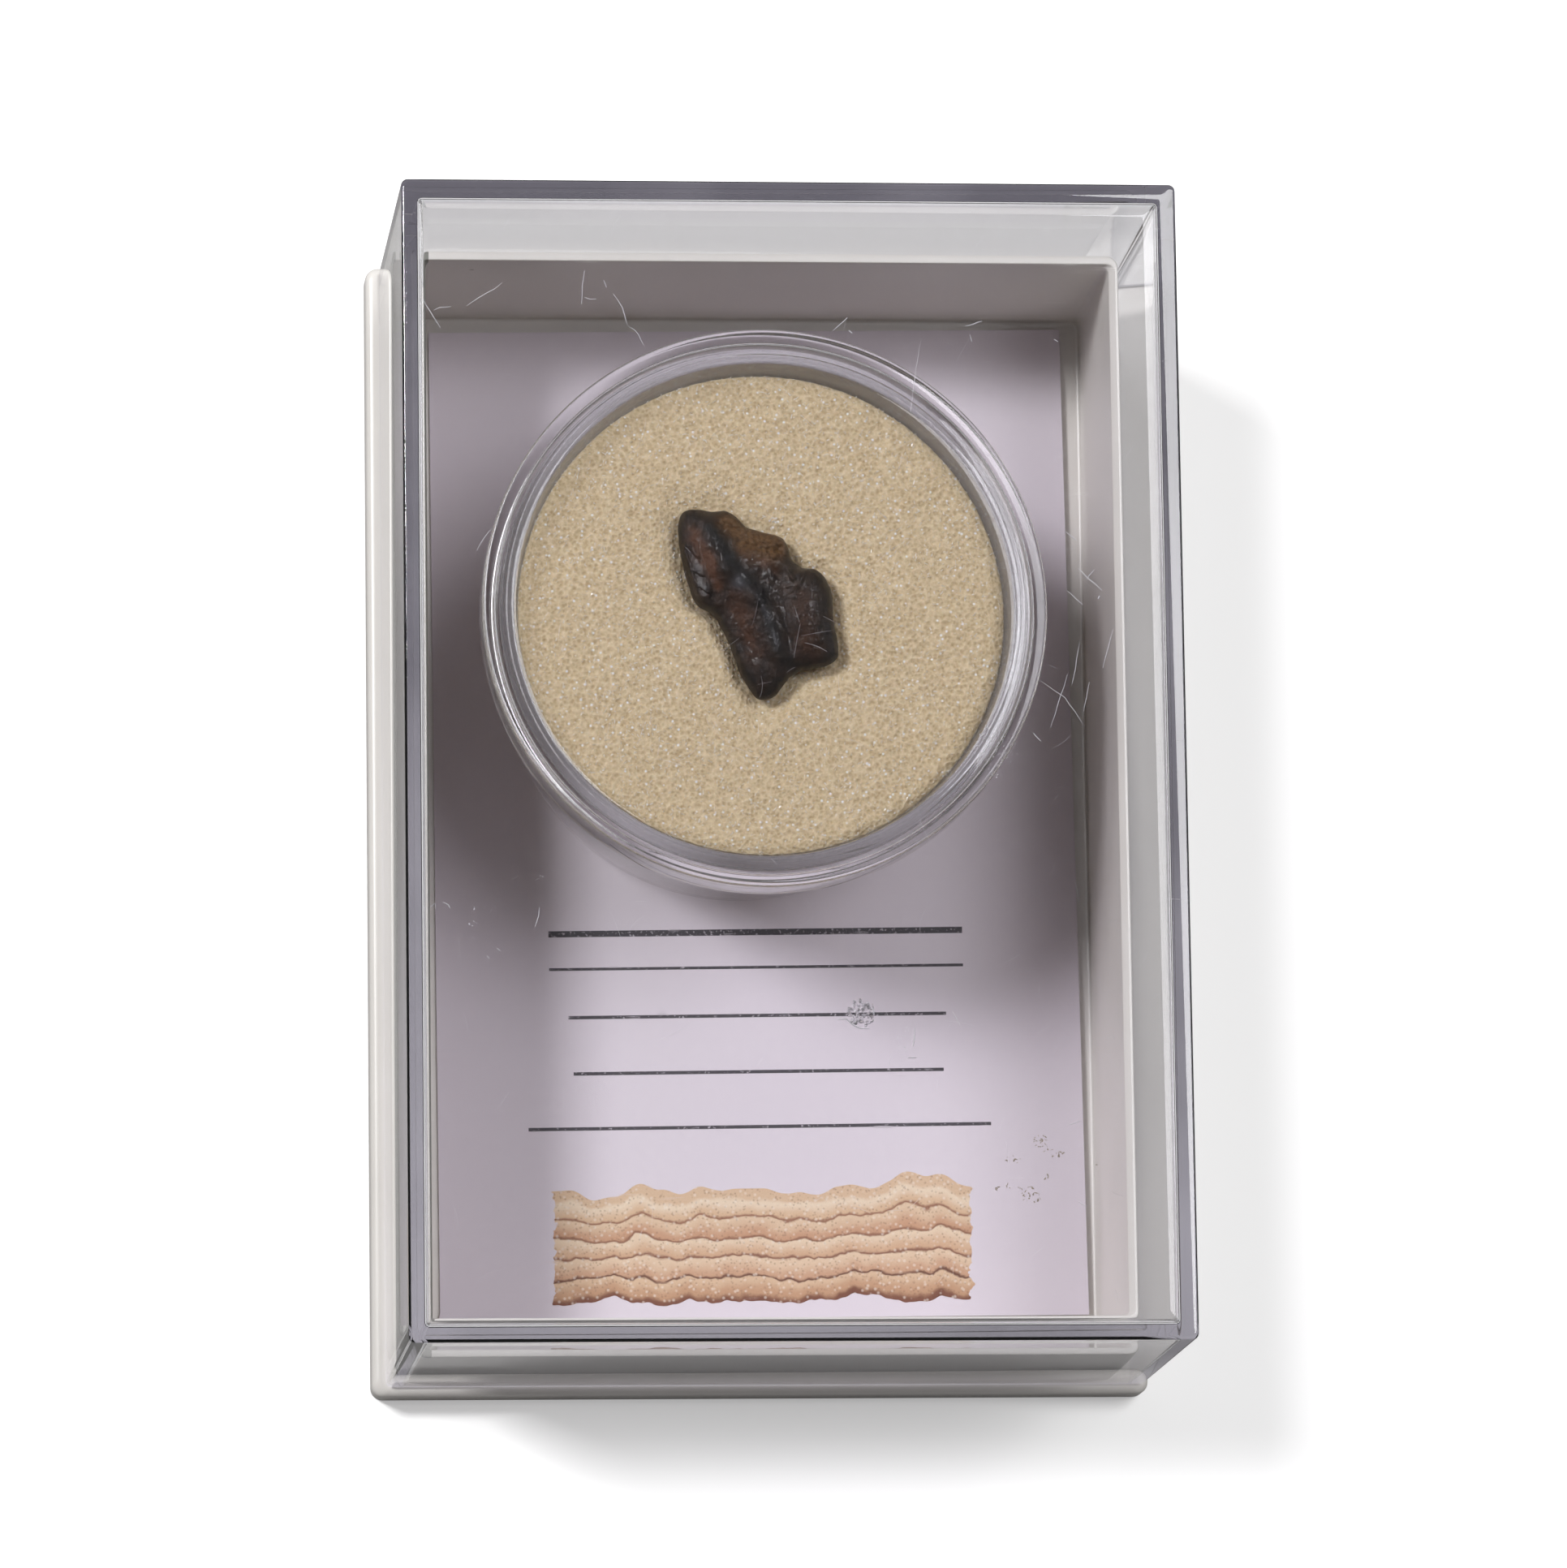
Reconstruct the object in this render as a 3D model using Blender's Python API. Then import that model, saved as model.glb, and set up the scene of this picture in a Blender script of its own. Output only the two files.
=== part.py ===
"""A dinosaur tooth on foam in a small clear jar, kept in a clear-lidded display box.

Units are metres, +Z is up and +Y points to the back of the box.
The origin is the centre of the tray's underside, where the box stands.
"""
import math

import bpy
import bmesh

MM = 0.001

# Tray: a flange that carries the lid, and thin walls that stand up inside it.
FLANGE_LENGTH = 86.8 * MM
FLANGE_WIDTH = 58.8 * MM
FLANGE_HEIGHT = 3.2 * MM
FLANGE_CORNER = 0.8 * MM
TRAY_WALL_CENTRE = (-0.17 * MM, 0.2 * MM)
TRAY_WALL_LENGTH = 81.08 * MM
TRAY_WALL_WIDTH = 53.24 * MM
TRAY_WALL = 0.68 * MM
TRAY_RIM_Z = 20.0 * MM
TRAY_FLOOR_Z = 1.9 * MM
TRAY_DRAFT_X = 0.1 * MM
TRAY_DRAFT_Y = 0.45 * MM

# Clear lid: a box without a bottom, a little wider at its open end.
LID_CENTRE = (0.38 * MM, 0.22 * MM)
LID_WIDTH = 57.15 * MM
LID_LENGTH = 85.53 * MM
LID_BOTTOM_Z = 3.5 * MM
LID_TOP_Z = 34.5 * MM
LID_WALL = 1.2 * MM
LID_DRAFT = 0.2 * MM
LID_CORNER = 0.45 * MM
LID_FILLET = 0.4 * MM

# Card: lies on the floor, turned a little.
CARD_WIDTH = 49.3 * MM
CARD_LENGTH = 77.0 * MM
CARD_THICKNESS = 0.3 * MM
CARD_CENTRE = (-0.1 * MM, 0.1 * MM, 2.35 * MM)
CARD_TURN_DEG = 0.65

# Jar: a tapered cup and a flat cap with a short skirt.
JAR_AXIS = (-1.35 * MM, 12.12 * MM)
CUP_FOOT_Z = 2.8 * MM
CUP_RIM_Z = 27.9 * MM
CUP_FOOT_RADIUS = 17.9 * MM
CUP_RIM_RADIUS = 19.6 * MM
CUP_WALL = 1.1 * MM
CUP_FLOOR = 1.0 * MM
CAP_RADIUS = 20.85 * MM
CAP_TOP_Z = 29.2 * MM
CAP_PLATE = 1.0 * MM
CAP_SKIRT_Z = 25.4 * MM
CAP_WALL = 0.9 * MM

# Foam: a plug held by the cup's taper, with a dent that follows the tooth's outline.
FOAM_AXIS = (-1.45 * MM, 12.27 * MM)
FOAM_TOP_Z = 25.2 * MM
FOAM_BOTTOM_Z = 14.0 * MM
FOAM_TOP_RADIUS = 17.7 * MM
FOAM_DENT = 1.4 * MM

# Tooth: control points of its outline in mm about its middle, counter-clockwise.
TOOTH_MIDDLE = (-1.5 * MM, 12.8 * MM)
TOOTH_EDGE_Z = 25.5 * MM
TOOTH_TOP_RISE = 2.1 * MM
TOOTH_UNDER_DROP = 1.35 * MM
TOOTH_OUTLINE = (
    (5.4, 0.6), (5.1, 1.9), (4.2, 2.7), (2.9, 2.9), (2.3, 3.6), (2.0, 4.8),
    (0.7, 5.4), (-0.9, 5.8), (-2.1, 6.9), (-3.7, 7.1), (-5.2, 7.2), (-5.9, 6.2),
    (-5.8, 3.9), (-5.2, 1.3), (-4.4, -0.4), (-3.0, -1.5), (-2.2, -2.9), (-1.7, -4.8),
    (-0.8, -6.5), (0.3, -7.1), (1.4, -6.3), (2.3, -5.2), (4.0, -4.7), (5.5, -4.2),
    (5.6, -2.4), (5.4, -0.9),
)

ROUND_SIDES = 80


def clear_scene():
    """Remove the objects that the new file starts with."""
    for item in list(bpy.data.objects):
        bpy.data.objects.remove(item, do_unlink=True)


def plain_material(name, colour, roughness, transmission=0.0, ior=1.5):
    """A Principled material of one colour."""
    material = bpy.data.materials.new(name)
    material.use_nodes = True
    shader = material.node_tree.nodes["Principled BSDF"]
    shader.inputs["Base Color"].default_value = (*colour, 1.0)
    shader.inputs["Roughness"].default_value = roughness
    shader.inputs["Metallic"].default_value = 0.0
    shader.inputs["Transmission Weight"].default_value = transmission
    shader.inputs["IOR"].default_value = ior
    return material


def rounded_rectangle(half_x, half_y, radius, z, centre=(0.0, 0.0), steps=4):
    """Points of a level rectangle with round corners, counter-clockwise."""
    points = []
    corners = ((1, 1, 0.0), (-1, 1, 90.0), (-1, -1, 180.0), (1, -1, 270.0))
    for sign_x, sign_y, start in corners:
        for step in range(steps + 1):
            angle = math.radians(start + 90.0 * step / steps)
            x = sign_x * (half_x - radius) + radius * math.cos(angle)
            y = sign_y * (half_y - radius) + radius * math.sin(angle)
            points.append((centre[0] + x, centre[1] + y, z))
    return points


def circle(radius, z, centre, sides=ROUND_SIDES):
    """Points of a level circle, counter-clockwise."""
    points = []
    for side in range(sides):
        angle = 2.0 * math.pi * side / sides
        x = centre[0] + radius * math.cos(angle)
        y = centre[1] + radius * math.sin(angle)
        points.append((x, y, z))
    return points


def extruded_body(name, sections, material, sharp_deg=35.0):
    """A closed body: a face on the first section, extruded to each next one in turn."""
    bm = bmesh.new()
    face = bm.faces.new([bm.verts.new(point) for point in sections[0]])
    for index, section in enumerate(sections[1:]):
        grown = bmesh.ops.extrude_face_region(bm, geom=[face])
        if index > 0:
            bmesh.ops.delete(bm, geom=[face], context="FACES_ONLY")
        face = next(item for item in grown["geom"] if isinstance(item, bmesh.types.BMFace))
        for vert, point in zip(face.verts, section):
            vert.co = point
        bm.normal_update()
    bmesh.ops.recalc_face_normals(bm, faces=bm.faces)
    mesh = bpy.data.meshes.new(name)
    bm.to_mesh(mesh)
    bm.free()
    mesh.materials.append(material)
    mesh.shade_smooth()
    mesh.set_sharp_from_angle(angle=math.radians(sharp_deg))
    body = bpy.data.objects.new(name, mesh)
    bpy.context.scene.collection.objects.link(body)
    return body


def build_tray(material):
    """Flange, walls and floor in one moulding; the walls lean in towards the floor."""
    flange_x = FLANGE_WIDTH / 2
    flange_y = FLANGE_LENGTH / 2
    wall_x = TRAY_WALL_WIDTH / 2
    wall_y = TRAY_WALL_LENGTH / 2
    inner_x = wall_x - TRAY_WALL
    inner_y = wall_y - TRAY_WALL
    soft = 0.25 * MM
    centre = TRAY_WALL_CENTRE
    sections = [
        rounded_rectangle(flange_x - soft, flange_y - soft, FLANGE_CORNER - soft, 0.0),
        rounded_rectangle(flange_x, flange_y, FLANGE_CORNER, soft),
        rounded_rectangle(flange_x, flange_y, FLANGE_CORNER, FLANGE_HEIGHT - 2 * soft),
        rounded_rectangle(flange_x - soft, flange_y - soft, FLANGE_CORNER, FLANGE_HEIGHT - 0.4 * soft),
        rounded_rectangle(flange_x - 2 * soft, flange_y - 2 * soft, FLANGE_CORNER, FLANGE_HEIGHT),
        rounded_rectangle(wall_x, wall_y, FLANGE_CORNER, FLANGE_HEIGHT, centre),
        rounded_rectangle(wall_x, wall_y, FLANGE_CORNER, TRAY_RIM_Z - soft, centre),
        rounded_rectangle(wall_x - soft, wall_y - soft, FLANGE_CORNER - soft, TRAY_RIM_Z, centre),
        rounded_rectangle(inner_x + soft, inner_y + soft, 2 * soft, TRAY_RIM_Z, centre),
        rounded_rectangle(inner_x, inner_y, 1.6 * soft, TRAY_RIM_Z - soft, centre),
        rounded_rectangle(
            inner_x - TRAY_DRAFT_X, inner_y - TRAY_DRAFT_Y, 1.6 * soft, TRAY_FLOOR_Z, centre
        ),
    ]
    return extruded_body("box_base", sections, material)


def build_lid(material):
    """Outer faces down to the open end, then back up inside to the underside of the top."""
    top_x = LID_WIDTH / 2
    top_y = LID_LENGTH / 2
    soft = 0.2 * MM
    inner_top_z = LID_TOP_Z - LID_WALL
    inner_draft = LID_DRAFT * (inner_top_z - LID_BOTTOM_Z) / (LID_TOP_Z - LID_BOTTOM_Z)
    open_x = top_x + LID_DRAFT - LID_WALL
    open_y = top_y + LID_DRAFT - LID_WALL
    shapes = (
        (top_x - soft, top_y - soft, LID_CORNER, LID_TOP_Z),
        (top_x, top_y, LID_CORNER, LID_TOP_Z - soft),
        (top_x + LID_DRAFT, top_y + LID_DRAFT, LID_CORNER, LID_BOTTOM_Z),
        (open_x, open_y, soft, LID_BOTTOM_Z),
        (open_x - inner_draft, open_y - inner_draft, LID_FILLET, inner_top_z - LID_FILLET),
        (open_x - inner_draft - LID_FILLET, open_y - inner_draft - LID_FILLET, soft, inner_top_z),
    )
    sections = [rounded_rectangle(*shape, centre=LID_CENTRE) for shape in shapes]
    return extruded_body("box_lid", sections, material)


def build_card(material):
    """A flat card on the tray's floor."""
    bm = bmesh.new()
    bmesh.ops.create_cube(bm, size=1.0)
    bmesh.ops.scale(bm, vec=(CARD_WIDTH, CARD_LENGTH, CARD_THICKNESS), verts=bm.verts)
    mesh = bpy.data.meshes.new("label_card")
    bm.to_mesh(mesh)
    bm.free()
    mesh.materials.append(material)
    card = bpy.data.objects.new("label_card", mesh)
    card.location = CARD_CENTRE
    card.rotation_euler = (0.0, 0.0, math.radians(CARD_TURN_DEG))
    bpy.context.scene.collection.objects.link(card)
    return card


def cup_outer_radius(z):
    """Outer radius of the tapered cup at a height."""
    share = (z - CUP_FOOT_Z) / (CUP_RIM_Z - CUP_FOOT_Z)
    return CUP_FOOT_RADIUS + (CUP_RIM_RADIUS - CUP_FOOT_RADIUS) * share


def build_cup(material):
    """A tapered cup: up the outside, over the rim and down the inside."""
    soft = 0.3 * MM
    inner_floor_z = CUP_FOOT_Z + CUP_FLOOR
    shapes = (
        (CUP_FOOT_RADIUS - 1.6 * MM, CUP_FOOT_Z + 0.35 * MM),
        (CUP_FOOT_RADIUS - 1.3 * MM, CUP_FOOT_Z),
        (CUP_FOOT_RADIUS - soft, CUP_FOOT_Z),
        (cup_outer_radius(CUP_FOOT_Z + soft), CUP_FOOT_Z + soft),
        (cup_outer_radius(CUP_RIM_Z - soft), CUP_RIM_Z - soft),
        (CUP_RIM_RADIUS - soft, CUP_RIM_Z),
        (CUP_RIM_RADIUS - CUP_WALL + soft, CUP_RIM_Z),
        (cup_outer_radius(CUP_RIM_Z - soft) - CUP_WALL, CUP_RIM_Z - soft),
        (cup_outer_radius(inner_floor_z + soft) - CUP_WALL, inner_floor_z + soft),
        (cup_outer_radius(inner_floor_z) - CUP_WALL - soft, inner_floor_z),
    )
    sections = [circle(radius, z, JAR_AXIS) for radius, z in shapes]
    return extruded_body("jar_base", sections, material)


def build_cap(material):
    """A flat plate with a short skirt that hangs over the cup's rim."""
    soft = 0.3 * MM
    inner_z = CAP_TOP_Z - CAP_PLATE
    inner_radius = CAP_RADIUS - CAP_WALL
    shapes = (
        (CAP_RADIUS - 2.4 * MM, CAP_TOP_Z - 0.2 * MM),
        (CAP_RADIUS - 2.1 * MM, CAP_TOP_Z),
        (CAP_RADIUS - soft, CAP_TOP_Z),
        (CAP_RADIUS, CAP_TOP_Z - soft),
        (CAP_RADIUS, CAP_SKIRT_Z),
        (inner_radius, CAP_SKIRT_Z),
        (inner_radius, inner_z),
    )
    sections = [circle(radius, z, JAR_AXIS) for radius, z in shapes]
    return extruded_body("jar_lid", sections, material)


def tooth_radius(angle):
    """Outline radius at an angle about the tooth's middle, from its control points."""
    nodes = []
    for x, y in TOOTH_OUTLINE:
        turn = math.atan2(y, x) % (2.0 * math.pi)
        nodes.append((turn, math.hypot(x, y) * MM))
    nodes.sort()
    count = len(nodes)
    angle = angle % (2.0 * math.pi)
    upper = sum(1 for turn, radius in nodes if turn <= angle)
    before = nodes[(upper - 1) % count]
    after = nodes[upper % count]
    span = (after[0] - before[0]) % (2.0 * math.pi)
    share = ((angle - before[0]) % (2.0 * math.pi)) / span
    share = share * share * (3.0 - 2.0 * share)
    return before[1] + (after[1] - before[1]) * share


def build_tooth(material):
    """A leaf-shaped tooth lying flat: rounded below, domed above with a lengthwise ridge."""
    sides = 80
    angles = [2.0 * math.pi * side / sides for side in range(sides)]
    radii = [tooth_radius(angle) for angle in angles]
    sections = []
    shares = (0.3, 0.6, 0.82, 0.95, 1.0, 0.97, 0.88, 0.74, 0.58, 0.4, 0.22, 0.08)
    for index, share in enumerate(shares):
        section = []
        for angle, radius in zip(angles, radii):
            x = share * radius * math.cos(angle)
            y = share * radius * math.sin(angle)
            dome = math.sqrt(1.0 - share * share)
            if index < 4:
                z = TOOTH_EDGE_Z - TOOTH_UNDER_DROP * dome
            else:
                across = (x + 0.25 * y) / (1.5 * MM)
                ridge = math.exp(-across * across) * min(1.0, 2.5 * (1.0 - share))
                lean = 0.045 * y * dome
                z = TOOTH_EDGE_Z + TOOTH_TOP_RISE * dome * (0.8 + 0.2 * ridge) + lean
            section.append((TOOTH_MIDDLE[0] + x, TOOTH_MIDDLE[1] + y, z))
        sections.append(section)
    return extruded_body("tooth", sections, material, sharp_deg=60.0)


def foam_surface(x, y):
    """Height of the foam's top: level, with a soft dent around the tooth."""
    from_x = x - TOOTH_MIDDLE[0]
    from_y = y - TOOTH_MIDDLE[1]
    share = math.hypot(from_x, from_y) / tooth_radius(math.atan2(from_y, from_x))
    fade = min(1.0, max(0.0, (1.4 - share) / 0.75))
    return FOAM_TOP_Z - FOAM_DENT * fade * fade * (3.0 - 2.0 * fade)


def build_foam(material):
    """A tapered plug; its top is made of rings that follow the dent."""
    sides = 72
    taper = cup_outer_radius(FOAM_TOP_Z) - cup_outer_radius(FOAM_BOTTOM_Z)
    bottom_radius = FOAM_TOP_RADIUS - taper
    sections = [
        circle(bottom_radius - 0.5 * MM, FOAM_BOTTOM_Z, FOAM_AXIS, sides),
        circle(bottom_radius, FOAM_BOTTOM_Z + 0.5 * MM, FOAM_AXIS, sides),
        circle(FOAM_TOP_RADIUS, FOAM_TOP_Z - 0.5 * MM, FOAM_AXIS, sides),
    ]
    rings = 13
    for ring in range(rings):
        radius = (FOAM_TOP_RADIUS - 0.5 * MM) * (1.0 - ring / rings)
        level = circle(radius, 0.0, FOAM_AXIS, sides)
        sections.append([(x, y, foam_surface(x, y)) for x, y, z in level])
    return extruded_body("foam_pad", sections, material, sharp_deg=60.0)


clear_scene()
build_tray(plain_material("tray_plastic", (0.62, 0.59, 0.54), 0.35))
build_lid(plain_material("lid_clear_plastic", (0.95, 0.95, 0.97), 0.05, 1.0, 1.59))
build_card(plain_material("card_paper", (0.66, 0.60, 0.70), 0.8))
build_cup(plain_material("cup_clear_plastic", (0.95, 0.95, 0.97), 0.05, 1.0, 1.59))
build_cap(plain_material("cap_clear_plastic", (0.95, 0.95, 0.97), 0.05, 1.0, 1.59))
build_foam(plain_material("foam_cream", (0.68, 0.60, 0.42), 0.95))
build_tooth(plain_material("tooth_fossil", (0.09, 0.05, 0.035), 0.35))
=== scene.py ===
import math

import bmesh
import bpy
import numpy as np
from mathutils import Matrix, Vector, noise


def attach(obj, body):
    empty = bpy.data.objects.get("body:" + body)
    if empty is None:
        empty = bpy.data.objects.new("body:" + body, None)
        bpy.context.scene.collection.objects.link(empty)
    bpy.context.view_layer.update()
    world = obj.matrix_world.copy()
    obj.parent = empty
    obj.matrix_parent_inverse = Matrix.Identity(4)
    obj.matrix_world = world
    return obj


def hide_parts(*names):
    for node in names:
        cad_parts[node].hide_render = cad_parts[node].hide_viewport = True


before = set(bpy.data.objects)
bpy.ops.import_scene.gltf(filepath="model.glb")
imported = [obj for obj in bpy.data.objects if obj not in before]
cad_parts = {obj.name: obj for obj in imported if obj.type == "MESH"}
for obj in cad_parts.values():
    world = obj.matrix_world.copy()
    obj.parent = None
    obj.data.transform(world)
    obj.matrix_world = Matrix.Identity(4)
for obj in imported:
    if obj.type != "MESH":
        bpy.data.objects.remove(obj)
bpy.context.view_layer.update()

# TRAY. The lower half of the display box: off-white high-impact polystyrene, injection-moulded
# in one shot, with a flange all round that carries the lid and thin walls that lean out a
# little from the floor so that it leaves the mould.
MM = 0.001
FLANGE_HALF = (29.4, 43.4)
FLANGE_Z = 3.2
TRAY_WALL_CENTRE = (-0.17, 0.2)
TRAY_WALL_HALF = (26.62, 40.54)
TRAY_INNER_HALF = (25.94, 39.86)
TRAY_RIM_HALF = (TRAY_INNER_HALF[0] + 0.5, TRAY_INNER_HALF[1] + 0.05)
TRAY_FOOT_HALF = (25.84, 39.41)
TRAY_FLOOR_Z = 1.9
TRAY_RIM_Z = 20.0
TRAY_RIM_FALL = 0.5
LEFT_RIM_X = -25.7
LEFT_RIM_Z = 19.3


def linear(code):
    """An sRGB hex colour as linear RGBA."""
    parts = [int(code[i:i + 2], 16) / 255 for i in (1, 3, 5)]
    parts = [c / 12.92 if c <= 0.04045 else ((c + 0.055) / 1.055) ** 2.4 for c in parts]
    return (*parts, 1.0)


def per_mm(size):
    """The scale, on coordinates in metres, of a pattern whose grains are size mm across."""
    return 1.0 / (size * MM)


def add(tree, kind, inputs=None, **settings):
    """Adds one node; an input is a value, a socket, or a node that gives its first output.

    A kind without "Node" in it is a shader node's, such as "Mix" for "ShaderNodeMix".
    """
    node = tree.nodes.new(kind if "Node" in kind else "ShaderNode" + kind)
    for key, value in settings.items():
        setattr(node, key, value)
    for key, value in (inputs or {}).items():
        if isinstance(value, bpy.types.Node):
            value = next(socket for socket in value.outputs if socket.enabled)
        if isinstance(value, bpy.types.NodeSocket):
            tree.links.new(value, node.inputs[key])
        else:
            node.inputs[key].default_value = value
    return node


def new_finish(name):
    """A material, its empty node tree, and the piece's own coordinates in metres."""
    material = bpy.data.materials.new(name)
    material.use_nodes = True
    tree = material.node_tree
    tree.nodes.clear()
    return material, tree, add(tree, "TexCoord").outputs["Object"]


def softened(rows, steps=5):
    """Profile rows (sizes..., z, soft) with each corner rounded over its soft length."""
    points = []
    for index, row in enumerate(rows):
        here = np.array(row[:-1], float)
        soft = row[-1]
        if soft == 0:
            points.append(here)
            continue
        back = np.array(rows[index - 1][:-1], float) - here
        onward = np.array(rows[index + 1][:-1], float) - here
        start = here + back * soft / math.hypot(back[0], back[-1])
        end = here + onward * soft / math.hypot(onward[0], onward[-1])
        for step in range(steps + 1):
            t = step / steps
            points.append((1 - t) ** 2 * start + 2 * t * (1 - t) * here + t * t * end)
    return points


def rectangle_loop(half_x, half_y, corner, centre_x, centre_y, z, steps=8):
    """A level rectangle in mm with round corners, as points in metres."""
    loop = []
    for sign_x, sign_y, start in ((1, 1, 0), (-1, 1, 90), (-1, -1, 180), (1, -1, 270)):
        for step in range(steps + 1):
            angle = math.radians(start + 90 * step / steps)
            x = centre_x + sign_x * (half_x - corner) + corner * math.cos(angle)
            y = centre_y + sign_y * (half_y - corner) + corner * math.sin(angle)
            loop.append((x * MM, y * MM, z * MM))
    return loop


def finished_piece(name, mesh, material, sharp=35.0):
    """Puts a mesh in the scene: faces out, smooth where it curves."""
    bm = bmesh.new()
    bm.from_mesh(mesh)
    bmesh.ops.recalc_face_normals(bm, faces=bm.faces)
    bm.to_mesh(mesh)
    bm.free()
    mesh.materials.append(material)
    mesh.shade_smooth()
    mesh.set_sharp_from_angle(angle=math.radians(sharp))
    piece = bpy.data.objects.new(name, mesh)
    bpy.context.scene.collection.objects.link(piece)
    return piece


def stacked_skin(name, loops, material, sharp=35.0):
    """A closed skin through level loops of points, with a face over each end."""
    count = len(loops[0])
    verts = [tuple(point) for loop in loops for point in loop]
    faces = [tuple(reversed(range(count)))]
    for level in range(len(loops) - 1):
        low = level * count
        for side in range(count):
            after = (side + 1) % count
            faces.append((low + side, low + after, low + count + after, low + count + side))
    last = (len(loops) - 1) * count
    faces.append(tuple(range(last, last + count)))
    mesh = bpy.data.meshes.new(name)
    mesh.from_pydata(verts, [], faces)
    return finished_piece(name, mesh, material, sharp)


# Moulded high-impact polystyrene: a warm off-white that glows a little through thin walls,
# satin from the mould, with faint flow mottling and a few dust specks. The top of the left
# wall is painted a darker grey, as painted shade. The rim's left side is greyer than the rest,
# as photographed; what made it so can't be seen. The flow marks are about 8 mm apart, the
# mould's own grain 0.4 mm, and a dust speck 0.3 mm, one to every 3 mm or so.
tray_plastic, nodes, place = new_finish("high_impact_polystyrene_moulded")
flow = add(nodes, "TexNoise", {"Vector": place, "Scale": per_mm(8.333), "Detail": 3.0})
tone = add(nodes, "Mix", {
    "Factor": flow, "A": linear("#DEDAD5"), "B": linear("#E8E5E1"),
}, data_type="RGBA")
dust = add(nodes, "TexVoronoi", {"Vector": place, "Scale": per_mm(3.03)})
dust_near = add(nodes, "MapRange", {
    "Value": dust, "From Min": 0.02, "From Max": 0.05,
    "To Min": 0.7, "To Max": 0.0,
})
dust_where = add(nodes, "TexNoise", {"Vector": place, "Scale": per_mm(11.11)})
dust_few = add(nodes, "MapRange", {"Value": dust_where, "From Min": 0.56, "From Max": 0.62})
dust_mask = add(nodes, "Math", {0: dust_near, 1: dust_few}, operation="MULTIPLY")
specked = add(nodes, "Mix", {"Factor": dust_mask, "A": tone, "B": linear("#6A625A")}, data_type="RGBA")
gloss = add(nodes, "MapRange", {"Value": flow, "To Min": 0.24, "To Max": 0.38})
# Painted shade: the top of the tray's left wall is mixed towards a darker grey.
where = add(nodes, "SeparateXYZ", {"Vector": place})
on_left = add(nodes, "Math", {0: where.outputs["X"], 1: LEFT_RIM_X * MM}, operation="LESS_THAN")
on_rim = add(nodes, "Math", {0: where.outputs["Z"], 1: LEFT_RIM_Z * MM}, operation="GREATER_THAN")
left_rim_shade_mask = add(nodes, "Math", {0: on_left, 1: on_rim}, operation="MULTIPLY")
rim_painted_shade = add(nodes, "Mix", {"Factor": left_rim_shade_mask, "A": specked, "B": linear("#85857F")}, data_type="RGBA")
grain = add(nodes, "TexNoise", {"Vector": place, "Scale": per_mm(0.4), "Detail": 2.0})
relief = add(nodes, "Bump", {"Height": grain, "Strength": 0.12, "Distance": 0.03 * MM})
shader = add(nodes, "BsdfPrincipled", {
    "Base Color": rim_painted_shade, "Roughness": gloss,
    "IOR": 1.57, "Normal": relief,
    "Subsurface Weight": 0.12, "Subsurface Radius": (1.0, 0.95, 0.9), "Subsurface Scale": 0.8 * MM,
})
add(nodes, "OutputMaterial", {"Surface": shader})

tray_rows = (
    (28.6, 42.6, 0.4, 0.0, 0.0, 0.0, 0),
    (*FLANGE_HALF, 0.9, 0.0, 0.0, 0.0, 0.25),
    (*FLANGE_HALF, 0.9, 0.0, 0.0, FLANGE_Z, 0.75),
    (*TRAY_WALL_HALF, 0.9, *TRAY_WALL_CENTRE, FLANGE_Z, 0.15),
    (*TRAY_WALL_HALF, 0.9, *TRAY_WALL_CENTRE, TRAY_RIM_Z, 0.12),
    (*TRAY_RIM_HALF, 0.7, *TRAY_WALL_CENTRE, TRAY_RIM_Z, 0.05),
    (*TRAY_INNER_HALF, 0.6, *TRAY_WALL_CENTRE, TRAY_RIM_Z - TRAY_RIM_FALL, 0.1),
    (*TRAY_FOOT_HALF, 0.6, *TRAY_WALL_CENTRE, TRAY_FLOOR_Z, 0.3),
    (25.0, 38.6, 0.3, *TRAY_WALL_CENTRE, TRAY_FLOOR_Z, 0),
)
tray = stacked_skin(
    "tray_moulding", [rectangle_loop(*row) for row in softened(tray_rows)], tray_plastic
)
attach(tray, "root")
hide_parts("box_base")

# CARD. A specimen label laid loose on the tray's floor: thin uncoated card from an office
# printer, cut by hand, a little askew. Its printed places carry plain rules and a band of
# layered sediment in the same inks.
CARD_TURN = math.radians(0.65)
CARD_MIDDLE = (-0.1 * MM, 0.1 * MM, 0.0)
# Each rule's middle height on the card, half its length and half its weight, in mm.
RULES = (
    (-8.2, 15.8, 0.24), (-10.9, 15.8, 0.11), (-14.6, 14.4, 0.13),
    (-18.9, 14.1, 0.13), (-23.1, 17.6, 0.13),
)
BAND_LOW_Y = -36.4
BAND_TOP_Y = -27.4
BAND_HALF_X = 15.8

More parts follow.
